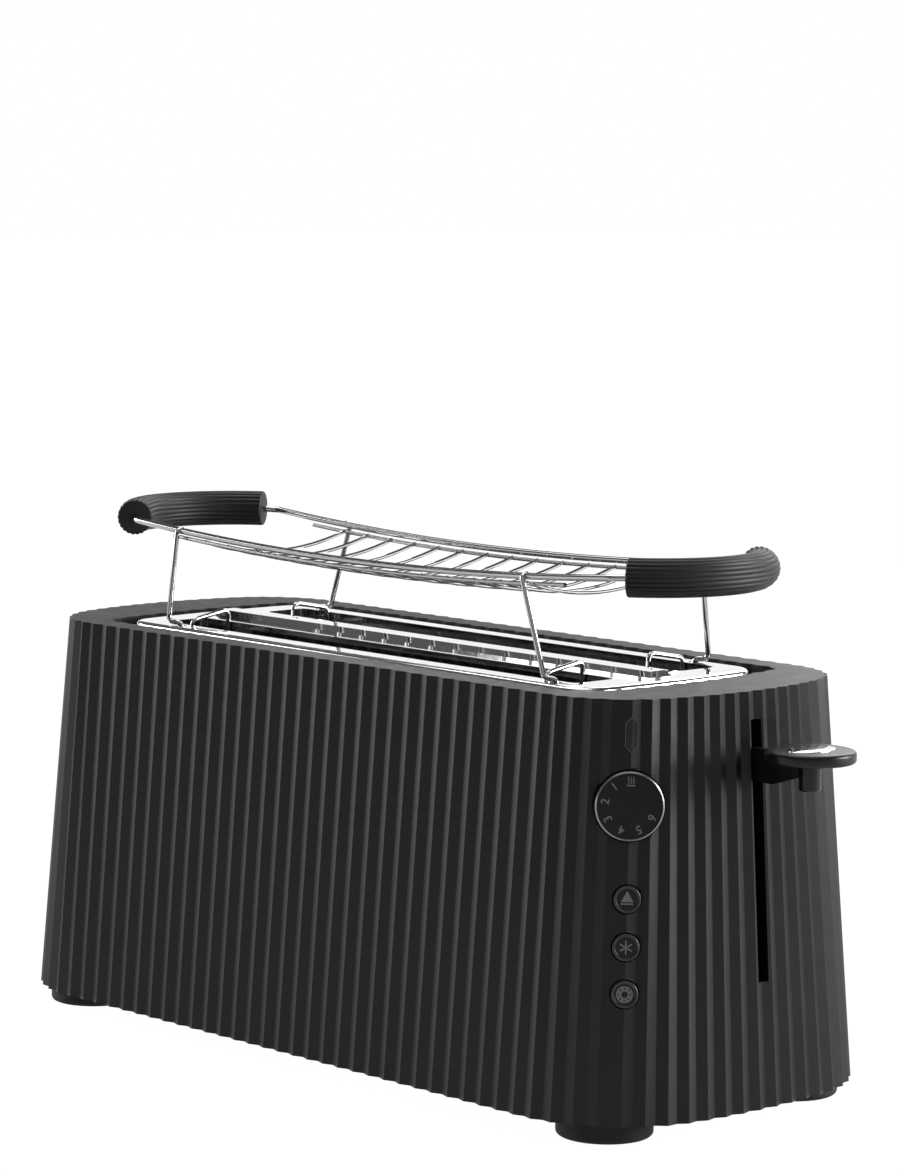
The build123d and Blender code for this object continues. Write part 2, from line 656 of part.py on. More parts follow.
def latch_magnet():
    """Electromagnet on the base plate under the carriage's armature."""
    length, width = MAGNET_SIZE
    top = REST_TOP - BRACKET_DROP - CARRIAGE_TRAVEL - ARMATURE_SHEET - LATCH_GAP
    x0 = BRACKET_X + BRACKET_SHEET
    core = box(x0, x0 + length, -width / 2, width / 2, FLOOR_Z, top)
    return fillet(core.edges().filter_by(Axis.Z), BRACKET_SHEET)


def latch_armature():
    """Steel plate under the carriage that the magnet holds."""
    length, width = MAGNET_SIZE
    low = REST_TOP - BRACKET_DROP
    x0 = BRACKET_X + BRACKET_SHEET
    return box(x0, x0 + length, -width / 2, width / 2, low - ARMATURE_SHEET, low)


def lever_arm():
    """Flat arm from the carriage through the casing's slot, tapered to the knob boss."""
    low = ARM_TOP - ARM_HEIGHT
    knob_under = KNOB_TOP - KNOB_THICKNESS
    neck_x = LEVER_NECK_X
    outline = [(BRACKET_X + BRACKET_SHEET, low), (neck_x, low), (KNOB_CENTRE_X - BOSS_R, KNOB_TOP - BOSS_DROP),
               (KNOB_CENTRE_X - BOSS_R, knob_under), (neck_x, ARM_TOP), (BRACKET_X + BRACKET_SHEET, ARM_TOP)]
    face = Plane.XZ * make_face(Polyline(*outline, close=True))
    return extrude(face, ARM_THICKNESS / 2, both=True)


def lever_knob():
    """Round disc with a boss under it and a shallow seat for the inlay."""
    disc = post(KNOB_CENTRE_X, 0, KNOB_TOP - KNOB_THICKNESS, KNOB_TOP, KNOB_R)
    disc = fillet(disc.edges(), KNOB_EDGE_R)
    boss = post(KNOB_CENTRE_X, 0, KNOB_TOP - BOSS_DROP - KNOB_THICKNESS, KNOB_TOP - KNOB_THICKNESS, BOSS_R)
    boss = fillet(boss.edges().sort_by(Axis.Z)[0], BOSS_R / 4)
    knob = disc + boss
    knob -= Pos(KNOB_CENTRE_X, 0, KNOB_TOP - INLAY_SEAT) * extrude(Ellipse(INLAY_WIDTH / 2, INLAY_LENGTH / 2),
                                                                 2 * INLAY_SEAT)
    return knob


def knob_inlay():
    """Polished oval set into the knob."""
    oval = Ellipse(INLAY_WIDTH / 2, INLAY_LENGTH / 2)
    return Pos(KNOB_CENTRE_X, 0, KNOB_TOP - INLAY_SEAT) * extrude(oval, INLAY_SEAT + INLAY_RISE)


def dial():
    """Browning dial with a bevelled face and a bore for its shaft."""
    knob = Pos(0, 0, -DIAL_DEPTH + DIAL_CLEARANCE) * Cylinder(
        DIAL_R, DIAL_DEPTH, align=(Align.CENTER, Align.CENTER, Align.MIN))
    knob = chamfer(knob.edges().sort_by(Axis.Z)[-1], DIAL_BEVEL)
    dish = Pos(0, 0, DIAL_CLEARANCE - DIAL_DISH) * Cylinder(
        DIAL_R - 2 * DIAL_BEVEL, DIAL_DISH, align=(Align.CENTER, Align.CENTER, Align.MIN))
    knob -= dish
    knob -= Pos(0, 0, -DIAL_DEPTH) * Cylinder(
        SHAFT_R + GUIDE_GAP, DIAL_DEPTH - DIAL_BEVEL - DIAL_DISH, align=(Align.CENTER, Align.CENTER, Align.MIN))
    return control_plane(DIAL_Z) * knob


def browning_control():
    """Rotary control behind the dial, its shaft in the dial's bore."""
    back = -DIAL_DEPTH - BOSS_WALL
    body = Pos(0, 0, back - CONTROL_BODY) * Cylinder(
        DIAL_R / 2 + SHAFT_R, CONTROL_BODY, align=(Align.CENTER, Align.CENTER, Align.MIN))
    shaft_top = DIAL_CLEARANCE - DIAL_DISH - DIAL_BEVEL - 2 * GUIDE_GAP - SHAFT_R / 2
    shaft = Pos(0, 0, back) * Cylinder(
        SHAFT_R, shaft_top - back, align=(Align.CENTER, Align.CENTER, Align.MIN))
    return control_plane(DIAL_Z) * (body + shaft)


def push_button(z):
    """Round cap with a slightly dished face, sliding in its bore."""
    back = -BUTTON_DEPTH - BOSS_WALL
    cap = Pos(0, 0, back) * Cylinder(BUTTON_R, BUTTON_PROUD - back, align=(Align.CENTER, Align.CENTER, Align.MIN))
    cap = fillet(cap.edges().sort_by(Axis.Z)[-1], BUTTON_PROUD)
    dish = Pos(0, 0, BUTTON_PROUD + DISH_R - DISH_DEPTH) * Sphere(DISH_R)
    return control_plane(z) * (cap - dish)


def button_switch(z):
    """Small switch on the control board behind a button."""
    back = -BUTTON_DEPTH - BOSS_WALL - BUTTON_TRAVEL - GUIDE_GAP
    body = Pos(0, 0, back - SWITCH_HEIGHT / 2) * Box(SWITCH_SIZE, SWITCH_SIZE, SWITCH_HEIGHT)
    return control_plane(z) * body


def board_span():
    """Lowest and highest point of the control board and the depth of its front."""
    front = -BUTTON_DEPTH - BOSS_WALL - BUTTON_TRAVEL - GUIDE_GAP - SWITCH_HEIGHT
    return BUTTON_ZS[-1] - 2 * SWITCH_SIZE, DIAL_Z - DIAL_R - SHAFT_R, front


def control_board():
    """Circuit board upright behind the buttons."""
    low_z, top_z, front = board_span()
    board = Pos(0, 0, front - BOARD_SHEET / 2) * Box(CONTROL_BOARD_WIDTH, top_z - low_z, BOARD_SHEET)
    return control_plane((top_z + low_z) / 2) * board


def board_ribs():
    """Two upright ribs of the casing that the control board is fixed to."""
    low_z, top_z, front = board_span()
    depth = -front - CASE_WALL
    ribs = []
    for sx in (1, -1):
        x = sx * (CONTROL_BOARD_WIDTH - BOARD_RIB) / 2
        rib = Pos(x, 0, front + depth / 2) * Box(BOARD_RIB, top_z - low_z, depth)
        ribs.append(control_plane((top_z + low_z) / 2) * rib)
    return ribs


def power_board():
    """Mains board that stands on the base plate at the far side of the lever end."""
    x0 = GUIDE_X + 2 * BUSH_R
    return box(x0, x0 + BOARD_SHEET, POWER_BOARD_Y, POWER_BOARD_Y + POWER_BOARD_WIDTH, FLOOR_Z,
               FLOOR_Z + POWER_BOARD_HEIGHT)


def indicator_lens():
    """Clear pointed prism whose two faces meet on the corner ridge."""
    body = Pos(0, 0, -2 * CASE_WALL) * extrude(lens_outline(-LENS_GAP), 3 * CASE_WALL)
    slope = LENS_WIDTH / 2 * LENS_SLOPE
    half = LENS_WIDTH
    section = [(-half, -2 * CASE_WALL), (half, -2 * CASE_WALL), (half, LENS_PROUD - 2 * slope), (0, LENS_PROUD),
               (-half, LENS_PROUD - 2 * slope)]
    wedge = extrude(Plane.XZ * make_face(Polyline(*section, close=True)), LENS_HEIGHT, both=True)
    return control_plane(LENS_Z) * (body & wedge)


def indicator_lamp():
    """Small lamp in the back of the lens."""
    lamp = Pos(0, 0, -2 * CASE_WALL - LAMP_LENGTH) * Cylinder(
        LAMP_R, LAMP_LENGTH, align=(Align.CENTER, Align.CENTER, Align.MIN))
    return control_plane(LENS_Z) * lamp


def crumb_tray():
    """Folded pan that slides on the base plate."""
    z0 = FLOOR_Z + TRAY_FLOOR_GAP
    x0 = -BASE_LENGTH / 2 + 4 * CASE_WALL
    x1 = x0 + TRAY_LENGTH
    half = TRAY_WIDTH / 2 - TRAY_GAP
    pan = box(x0, x1, -half, half, z0, z0 + TRAY_WALL_HEIGHT - TRAY_GAP)
    pan -= box(x0 + TRAY_SHEET, x1 - TRAY_SHEET, -half + TRAY_SHEET, half - TRAY_SHEET, z0 + TRAY_SHEET,
               z0 + TRAY_WALL_HEIGHT)
    return pan


def tray_front():
    """Piece of the pleated end that closes the tray's mouth."""
    return casing_skin() & tray_mouth(0.0)


def rack_z(x):
    """Height of the bun warmer's rods, a shallow arc along the toaster."""
    return RACK_MIDDLE_Z + RACK_END_RISE * (x / GRIP_END_X) ** 2


def bow_points(y, drop, end):
    """Points of the shallow arc from one end to the other."""
    xs = [-end, -2 * BOW_STEP, -BOW_STEP, 0, BOW_STEP, 2 * BOW_STEP, end]
    return [(x, y, rack_z(x) - drop) for x in xs]


def grip_end():
    """Half span of a grip's ends and the direction in which the rods leave them."""
    return GRIP_R * sin(radians(GRIP_HALF_ANGLE)), radians(90 - GRIP_HALF_ANGLE)


def rack_rod(side):
    """Long rod that leaves both grips at an angle and then follows the shallow arc."""
    span, lean = grip_end()
    swing = (RACK_HALF_WIDTH - span) / sin(lean)
    turn_x = GRIP_END_X - swing * cos(lean)
    stub_x = GRIP_END_X + GRIP_SEAT * cos(lean)
    stub_y = side * (span - GRIP_SEAT * sin(lean))
    top = rack_z(GRIP_END_X)
    bow = bow_points(side * RACK_HALF_WIDTH, 0, turn_x)[1:-1]
    turns = [(x, side * RACK_HALF_WIDTH, top) for x in (-turn_x, turn_x)]
    points = [(-stub_x, stub_y, top), turns[0]] + bow + [turns[1], (stub_x, stub_y, top)]
    bends = [ROD_TURN_R] + [ROD_BOW_R] * len(bow) + [ROD_TURN_R]
    return bent_wire(points, ROD_WIRE / 2, bends)


def grip(side):
    """Fluted bar bent round one end of the rack."""
    flute = 2 * pi / GRIP_FLUTES
    outer = GRIP_THICKNESS / 2
    ring = []
    for k in range(GRIP_FLUTES):
        ring.append((outer * cos(k * flute), outer * sin(k * flute)))
        ring.append(((outer - FLUTE_DEPTH) * cos((k + 0.5) * flute), (outer - FLUTE_DEPTH) * sin((k + 0.5) * flute)))
    section = make_face(Polyline(*ring, close=True))
    centre_x = GRIP_END_X - GRIP_R * cos(radians(GRIP_HALF_ANGLE))
    start = Pos(centre_x, 0, rack_z(GRIP_END_X)) * Rot(0, 0, -GRIP_HALF_ANGLE) * Pos(GRIP_R, 0, 0) * Rot(90, 0, 0)
    axis = Axis((centre_x, 0, rack_z(GRIP_END_X)), (0, 0, 1))
    bar = revolve(start * section, axis, 2 * GRIP_HALF_ANGLE)
    span, lean = grip_end()
    for sy in (1, -1):
        mouth = (GRIP_END_X, sy * span, rack_z(GRIP_END_X))
        floor = (GRIP_END_X + GRIP_SEAT * cos(lean), sy * (span - GRIP_SEAT * sin(lean)), rack_z(GRIP_END_X))
        bar -= rod(mouth, floor, ROD_WIRE / 2)
    return bar if side > 0 else Rot(0, 0, 180) * bar


def lower_wire(side):
    """Thin wire that follows the long rod from below."""
    y = side * (RACK_HALF_WIDTH - THIN_WIRE / 2)
    points = bow_points(y, RACK_WIRE_DROP, LEG_TOP_LEFT + 2 * ROD_WIRE)
    return bent_wire(points, THIN_WIRE / 2, [ROD_BOW_R / 2] * (len(points) - 2))


def cross_wire(x):
    """Thin wire that sags between the two lower wires."""
    y = RACK_HALF_WIDTH - ROD_WIRE / 4
    z = rack_z(x) - RACK_WIRE_DROP / 2
    path = ThreePointArc((x, -y, z), (x, 0, z - CROSS_WIRE_SAG), (x, y, z))
    section = Plane(origin=path @ 0, z_dir=path % 0) * Circle(THIN_WIRE / 2)
    return sweep(section, path)


def rack_leg(left):
    """Leg from a long rod down to a hooked foot with a pin for the plate's hole."""
    sign = -1 if left else 1
    top_x = sign * (LEG_TOP_LEFT if left else LEG_TOP_RIGHT)
    bend_x = sign * (LEG_BEND_LEFT if left else LEG_BEND_RIGHT)
    foot_x = sign * (LEG_FOOT_LEFT if left else LEG_FOOT_RIGHT)
    lie = RIM_Z + LEG_WIRE / 2 + LEG_LIFT
    top_y = RACK_HALF_WIDTH + ROD_WIRE / 2
    points = [(top_x, -top_y, rack_z(top_x)), (bend_x, -LEG_BEND_Y, lie), (foot_x, -LEG_FOOT_Y, lie),
              (foot_x, -LEG_FOOT_Y, RIM_Z - LEG_PIN)]
    return bent_wire(points, LEG_WIRE / 2, [LEG_WIRE, LEG_WIRE])


def rack_wires():
    """Rods, lower wires, cross wires and legs, welded into one frame."""
    frame = rack_rod(1) + rack_rod(-1)
    frame += lower_wire(1) + lower_wire(-1)
    first = -CROSS_WIRE_PITCH * (CROSS_WIRES - 1) / 2
    for k in range(CROSS_WIRES):
        frame += cross_wire(first + k * CROSS_WIRE_PITCH)
    legs = rack_leg(True) + rack_leg(False)
    return frame + legs + Rot(0, 0, 180) * legs


def main():
    """Write one file for each node, in the frame centred on the whole toaster."""
    os.makedirs("parts", exist_ok=True)
    nodes = {
        "casing": casing(),
        "top_plate": top_plate(),
        "base_plate": base_plate(),
        "base_screws": base_screws(),
        "cord_gland": cord_gland(),
        "carriage_bracket": carriage_bracket(),
        "rod_bridge": rod_bridge(),
        "return_spring": return_spring(),
        "latch_magnet": latch_magnet(),
        "latch_armature": latch_armature(),
        "lever_arm": lever_arm(),
        "lever_knob": lever_knob() - lever_arm(),
        "knob_inlay": knob_inlay(),
        "dial": dial(),
        "browning_control": browning_control(),
        "control_board": control_board(),
        "power_board": power_board(),
        "indicator_lens": indicator_lens(),
        "indicator_lamp": indicator_lamp(),
        "crumb_tray": crumb_tray(),
        "crumb_tray_front": tray_front(),
        "rack_wires": rack_wires(),
        "rack_grip_left": grip(-1),
        "rack_grip_right": grip(1),
        "slot_end_hoops": Compound([end_hoop(sx * HOOP_X, sy) for sx in (1, -1) for sy in (1, -1)]),
        "button_switches": Compound([button_switch(z) for z in BUTTON_ZS]),
    }
    for end, sx in (("left", -1), ("right", 1)):
        nodes[f"chassis_{end}"] = chassis_end(sx)
        for row, sy in (("near", -1), ("far", 1)):
            nodes[f"foot_{row}_{end}"] = foot(sx, sy)
    for row, sy in (("near", -1), ("far", 1)):
        nodes[f"guide_rod_{row}"] = guide_rod(sy)
        nodes[f"bread_rest_{row}"] = bread_rest(sy)
        nodes[f"reflector_{row}"] = reflector(sy)
        for place, share in (("inner", -1), ("outer", 1)):
            nodes[f"heater_board_{row}_{place}"] = heater_board(sy, share)
            nodes[f"heater_ribbon_{row}_{place}"] = ribbon(sy, share)
            nodes[f"bread_guard_{row}_{place}"] = bread_guard(sy, share)
    for name, z in zip(("eject_button", "defrost_button", "bagel_button"), BUTTON_ZS):
        nodes[name] = push_button(z)
    for name, shape in nodes.items():
        export_step(Pos(-CENTRE_X, 0, 0) * shape, f"parts/{name}.step")


main()
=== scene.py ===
import json
from math import atan2, cos, pi, radians, sin

import bmesh
import bpy
from bpy.props import FloatProperty, FloatVectorProperty, IntProperty, PointerProperty
from mathutils import Matrix, Vector


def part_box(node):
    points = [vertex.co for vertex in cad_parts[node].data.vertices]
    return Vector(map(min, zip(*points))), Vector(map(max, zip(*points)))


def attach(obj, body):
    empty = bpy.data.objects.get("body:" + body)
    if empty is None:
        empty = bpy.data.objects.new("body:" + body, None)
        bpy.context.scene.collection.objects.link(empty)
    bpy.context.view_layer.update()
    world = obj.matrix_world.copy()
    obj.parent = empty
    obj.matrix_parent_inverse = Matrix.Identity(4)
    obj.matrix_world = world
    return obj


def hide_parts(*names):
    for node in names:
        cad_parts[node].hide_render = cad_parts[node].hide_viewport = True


# Long-slot toaster with a pleated moulded casing: finishes, wires, grips, dial and stage.
# Lengths in the code are metres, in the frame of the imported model.

bl_info = {
    "name": "Long-slot toaster",
    "version": (1, 0, 0),
    "blender": (4, 5, 0),
    "location": "3D View > Sidebar > Toaster",
    "description": "Finishes and fine pieces of a long-slot toaster around its packed frame",
    "category": "Object",
}

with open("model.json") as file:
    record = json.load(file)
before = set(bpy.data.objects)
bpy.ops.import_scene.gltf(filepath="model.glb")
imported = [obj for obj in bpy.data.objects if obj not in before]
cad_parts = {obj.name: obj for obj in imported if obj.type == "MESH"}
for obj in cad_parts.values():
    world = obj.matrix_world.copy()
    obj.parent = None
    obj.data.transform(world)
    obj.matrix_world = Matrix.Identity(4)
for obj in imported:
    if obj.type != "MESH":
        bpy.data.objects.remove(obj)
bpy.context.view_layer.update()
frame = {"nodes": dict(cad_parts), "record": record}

MM = 0.001


def middle(node):
    """Middle of a node's box."""
    low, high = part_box(node)
    return (low + high) / 2


JOINTS = {joint["name"]: joint for joint in frame["record"]["behaviour"]["joints"]}
CENTRE_X = middle("casing").x
RIM_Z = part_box("casing")[1].z
BUTTONS = ("eject_button", "defrost_button", "bagel_button")


class ToasterColours(bpy.types.PropertyGroup):
    """Colours of the finishes."""

    shell: FloatVectorProperty(
        name="Casing", description="Colour of the moulded casing, lever knob and tray front",
        subtype="COLOR", size=3, min=0, max=1, default=(0.0045, 0.0045, 0.0048))
    grip: FloatVectorProperty(
        name="Grips", description="Colour of the fluted grips",
        subtype="COLOR", size=3, min=0, max=1, default=(0.008, 0.008, 0.008))
    control: FloatVectorProperty(
        name="Controls", description="Colour of the dial and the buttons",
        subtype="COLOR", size=3, min=0, max=1, default=(0.004, 0.004, 0.0042))
    # Also sets, darker, the grey of the dial bevel's painted highlight.
    chrome: FloatVectorProperty(
        name="Chrome", description="Colour of the chromed wires",
        subtype="COLOR", size=3, min=0, max=1, default=(0.56, 0.56, 0.57))
    plate: FloatVectorProperty(
        name="Top plate", description="Colour of the polished top plate",
        subtype="COLOR", size=3, min=0, max=1, default=(0.82, 0.82, 0.82))
    print: FloatVectorProperty(
        name="Printing", description="Colour of the numerals and symbols",
        subtype="COLOR", size=3, min=0, max=1, default=(0.24, 0.24, 0.24))


class ToasterSizes(bpy.types.PropertyGroup):
    """Sizes of the pieces that this file makes."""

    rod: FloatProperty(
        name="Rack rod", description="Diameter of the two long rods of the bun warmer",
        unit="LENGTH", default=3.0 * MM)
    thin_wire: FloatProperty(
        name="Thin wire", description="Diameter of the lower and cross wires",
        unit="LENGTH", default=1.8 * MM)
    leg_wire: FloatProperty(
        name="Leg wire", description="Diameter of the bun warmer's legs",
        unit="LENGTH", default=2.4 * MM)
    hoop_wire: FloatProperty(
        name="Hoop wire", description="Diameter of the wires over the slots' ends",
        unit="LENGTH", default=2.2 * MM)
    grip_thickness: FloatProperty(
        name="Grip thickness", description="Diameter over the flutes of a grip",
        unit="LENGTH", default=16.6 * MM)
    grip_flutes: IntProperty(
        name="Grip flutes", description="Number of flutes round a grip", default=22)
    dial_radius: FloatProperty(
        name="Dial radius", description="Radius of the browning dial",
        unit="LENGTH", default=14.3 * MM)
    button_radius: FloatProperty(
        name="Button radius", description="Radius of a push button",
        unit="LENGTH", default=5.7 * MM)


class ToasterStage(bpy.types.PropertyGroup):
    """Camera and light."""

    lens: FloatProperty(
        name="Lens", description="Focal length for a 36 mm sensor", subtype="DISTANCE_CAMERA", default=122.08)
    camera_place: FloatVectorProperty(
        name="Camera place", description="Where the camera stands",
        subtype="TRANSLATION", size=3, default=(1.29505, -1.2134, 0.4101))
    turn: FloatProperty(
        name="Turn", description="Camera's turn from looking along +Y", subtype="ANGLE", default=radians(47.0))
    pitch: FloatProperty(
        name="Pitch", description="How far the camera looks down", subtype="ANGLE", default=radians(6.41))
    roll: FloatProperty(
        name="Roll", description="Camera's roll", subtype="ANGLE", default=radians(0.63))
    bright: FloatProperty(
        name="Surroundings", description="Brightness of the bright surroundings", default=1.0)
    band: FloatProperty(
        name="Dark band", description="Brightness behind the object, between the horizon and overhead", default=0.1)
    dim: FloatProperty(
        name="Camera side", description="Brightness low behind the camera", default=0.025)
    front: FloatProperty(
        name="Front light", description="Brightness high behind the camera", default=0.36)


def scene_values():
    """The three groups of values of this scene."""
    scene = bpy.context.scene
    return scene.toaster_colours, scene.toaster_sizes, scene.toaster_stage


def new_material(name, colour, roughness, metallic=0.0, **sockets):
    """Material with a Principled shader; sockets are set by name."""
    material = bpy.data.materials.new(name)
    material.use_nodes = True
    shader = material.node_tree.nodes["Principled BSDF"]
    shader.inputs["Base Color"].default_value = (*colour, 1.0)
    shader.inputs["Roughness"].default_value = roughness
    shader.inputs["Metallic"].default_value = metallic
    for socket, value in sockets.items():
        shader.inputs[socket.replace("_", " ")].default_value = value
    material.diffuse_color = (*colour, 1.0)
    return material


def noise(tree, scale, detail=3.0, stretch=(1.0, 1.0, 1.0)):
    """Noise on Object coordinates, in cells per metre, stretched along an axis."""
    nodes, links = tree.nodes, tree.links
    place = nodes.new("ShaderNodeTexCoord")
    mapping = nodes.new("ShaderNodeMapping")
    mapping.inputs["Scale"].default_value = stretch
    grain = nodes.new("ShaderNodeTexNoise")
    grain.inputs["Scale"].default_value = scale
    grain.inputs["Detail"].default_value = detail
    links.new(place.outputs["Object"], mapping.inputs["Vector"])
    links.new(mapping.outputs["Vector"], grain.inputs["Vector"])
    return grain.outputs["Fac"]


def spread(tree, factor, low, high):
    """Maps a noise factor onto a range of values."""
    remap = tree.nodes.new("ShaderNodeMapRange")
    remap.inputs["From Min"].default_value = 0.3
    remap.inputs["From Max"].default_value = 0.7
    remap.inputs["To Min"].default_value = low
    remap.inputs["To Max"].default_value = high
    tree.links.new(factor, remap.inputs["Value"])
    return remap.outputs["Result"]


def vary_roughness(material, factor, low, high):
    """Roughness that follows a noise factor."""
    tree = material.node_tree
    tree.links.new(spread(tree, factor, low, high), tree.nodes["Principled BSDF"].inputs["Roughness"])


def vary_colour(material, factor, dark, light):
    """Base colour between two colours that follows a noise factor."""
    tree = material.node_tree
    ramp = tree.nodes.new("ShaderNodeValToRGB")
    ramp.color_ramp.elements[0].position = 0.3
    ramp.color_ramp.elements[0].color = (*dark, 1.0)
    ramp.color_ramp.elements[1].position = 0.7
    ramp.color_ramp.elements[1].color = (*light, 1.0)
    tree.links.new(factor, ramp.inputs["Fac"])
    tree.links.new(ramp.outputs["Color"], tree.nodes["Principled BSDF"].inputs["Base Color"])


def add_bump(material, factor, depth, edge=0.0):
    """Bump of a depth in metres, over edges that look rounded by a radius."""
    tree = material.node_tree
    bump = tree.nodes.new("ShaderNodeBump")
    bump.inputs["Strength"].default_value = 1.0
    bump.inputs["Distance"].default_value = depth
    tree.links.new(factor, bump.inputs["Height"])
    if edge:
        bevel = tree.nodes.new("ShaderNodeBevel")
        bevel.samples = 4
        bevel.inputs["Radius"].default_value = edge
        tree.links.new(bevel.outputs["Normal"], bump.inputs["Normal"])
    tree.links.new(bump.outputs["Normal"], tree.nodes["Principled BSDF"].inputs["Normal"])


def shade(colour, factor):
    """A colour made darker or lighter by a factor."""
    return tuple(min(1.0, channel * factor) for channel in colour)


PLASTIC_IOR = 1.45


def moulded(name, colour, roughness, grain=2600, depth=0.012 * MM, edge=0.0, cloud=60):
    """Moulded plastic: fine spark texture, faint clouding in colour and gloss."""
    material = new_material(name, colour, roughness, IOR=PLASTIC_IOR)
    tree = material.node_tree
    vary_colour(material, noise(tree, cloud), shade(colour, 0.9), shade(colour, 1.12))
    vary_roughness(material, noise(tree, 2 * cloud, 5.0), roughness - 0.03, roughness + 0.04)
    add_bump(material, noise(tree, grain, 2.0), depth, edge)
    return material


def polished(name, colour, roughness, wave=35, depth=0.01 * MM, edge=0.0):
    """Polished metal: slightly uneven gloss and a faint wave in the sheet."""
    material = new_material(name, colour, roughness, 1.0)
    tree = material.node_tree
    vary_roughness(material, noise(tree, 90, 6.0), roughness * 0.6, roughness * 1.5)
    add_bump(material, noise(tree, wave, 1.0), depth, edge)
    return material


def sheet_metal(name, colour, roughness, stretch):
    """Rolled sheet with fine grain along one direction."""
    material = new_material(name, colour, roughness, 1.0)
    tree = material.node_tree
    lines = noise(tree, 900, 3.0, stretch)
    vary_roughness(material, lines, roughness - 0.08, roughness + 0.1)
    vary_colour(material, noise(tree, 25, 5.0), shade(colour, 0.88), colour)
    add_bump(material, lines, 0.006 * MM)
    return material


def mica():
    """Layered mica sheet with flakes and scorched patches."""
    light, dark = (0.42, 0.34, 0.24), (0.2, 0.15, 0.1)
    material = new_material("mica", light, 0.45)
    tree = material.node_tree
    vary_colour(material, noise(tree, 160, 8.0), dark, light)
    add_bump(material, noise(tree, 400, 4.0), 0.05 * MM)
    return material


def laminate():
    """Green circuit board laminate with a woven look."""
    material = new_material("laminate", (0.02, 0.12, 0.05), 0.4)
    tree = material.node_tree
    vary_colour(material, noise(tree, 700, 2.0, (1.0, 1.0, 0.15)), (0.015, 0.09, 0.035), (0.03, 0.15, 0.06))
    add_bump(material, noise(tree, 1500, 2.0), 0.01 * MM)
    return material


def rubber():
    """Matte black rubber."""
    return moulded("rubber", (0.006, 0.006, 0.006), 0.6, 1800, 0.02 * MM)


def lens_glass():
    """Smoked clear lens over a dark well."""
    material = new_material("lens", (0.035, 0.035, 0.037), 0.22, Transmission_Weight=0.25, IOR=1.55)
    add_bump(material, noise(material.node_tree, 300, 1.0), 0.004 * MM)
    return material


def printing(colour):
    """Pad printing in pale grey."""
    material = new_material("printing", colour, 0.55)
    tree = material.node_tree
    vary_colour(material, noise(tree, 2500, 3.0), shade(colour, 0.8), colour)
    return material


def make_finishes():
    """All materials by name."""
    colours, _, _ = scene_values()
    return {
        "shell": moulded("shell", tuple(colours.shell), 0.38, edge=0.3 * MM),
        "knob": moulded("knob", tuple(colours.shell), 0.3),
        "grip": moulded("grip", tuple(colours.grip), 0.5, 1500),
        "control": moulded("control", tuple(colours.control), 0.34),
        "plate": polished("plate", tuple(colours.plate), 0.06),
        "chrome": polished("chrome", tuple(colours.chrome), 0.07, 60, 0.004 * MM),
        # Darker chrome on the dial's bevel and ring: a painted highlight round the dial's edge.
        "dial_bevel_painted_highlight": polished("dial_bevel_painted_highlight", shade(tuple(colours.chrome), 0.6), 0.3, 60, 0.004 * MM),
        "steel": sheet_metal("steel", (0.56, 0.56, 0.57), 0.34, (1.0, 1.0, 0.03)),
        "reflector": sheet_metal("reflector", (0.72, 0.72, 0.72), 0.2, (0.03, 1.0, 1.0)),
        "aluminium": sheet_metal("aluminium", (0.66, 0.66, 0.67), 0.4, (0.03, 1.0, 1.0)),
        "wire": sheet_metal("wire", (0.62, 0.62, 0.62), 0.25, (1.0, 1.0, 0.05)),
        "ribbon": sheet_metal("ribbon", (0.3, 0.27, 0.25), 0.45, (1.0, 1.0, 0.05)),
        "mica": mica(),
        "laminate": laminate(),
        "component": moulded("component", (0.015, 0.015, 0.015), 0.5),
        "rubber": rubber(),
        "lens": lens_glass(),
        "lens_rim": moulded("lens_rim", (0.16, 0.16, 0.16), 0.3),
        # Lighter grey on the buttons' rounded rims: a painted highlight along their edges.
        "button_rim_painted_highlight": moulded("button_rim_painted_highlight", (0.05, 0.05, 0.05), 0.28),
        "lamp": moulded("lamp", (0.25, 0.02, 0.015), 0.2),
        "printing": printing(tuple(colours.print)),
    }


FINISHES = {}
FINISH_OF_SLOT = {
    "black_shell": "shell",
    "polished_steel": "plate",
    "chrome_wire": "chrome",
    "black_grip": "grip",
    "control_black": "control",
    "plate_steel": "steel",
    "tray_aluminium": "aluminium",
    "reflector_steel": "reflector",
    "guard_wire": "wire",
    "mica": "mica",
    "ribbon": "ribbon",
    "foot_rubber": "rubber",
    "gland_rubber": "rubber",
    "circuit_board": "laminate",
    "component_black": "component",
    "lens_clear": "lens",
    "lamp_red": "lamp",
}


def finish(name):
    """A material by name."""
    return FINISHES[name]


def add_piece(name, bm, body, slot, *materials, sharp=radians(35)):
    """Turns a bmesh into a piece that rides on a body, smooth but for sharp edges."""
    bmesh.ops.remove_doubles(bm, verts=bm.verts, dist=0.002 * MM)
    bmesh.ops.recalc_face_normals(bm, faces=bm.faces)
    for face in bm.faces:
        face.smooth = True
    for edge in bm.edges:
        edge.smooth = len(edge.link_faces) == 2 and edge.calc_face_angle() < sharp
    mesh = bpy.data.meshes.new(name)
    bm.to_mesh(mesh)
    bm.free()
    for material in materials:
        mesh.materials.append(material)
    piece = bpy.data.objects.new(name, mesh)
    bpy.context.scene.collection.objects.link(piece)
    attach(piece, body)
    return piece


def travel(bm, edges, move):
    """Extrudes a ring of edges and carries the new ring by a transform."""
    made = bmesh.ops.extrude_edge_only(bm, edges=edges)["geom"]
    verts = [part for part in made if isinstance(part, bmesh.types.BMVert)]
    bmesh.ops.transform(bm, matrix=move, verts=verts)
    return [part for part in made if isinstance(part, bmesh.types.BMEdge)
            and all(vert in verts for vert in part.verts)]


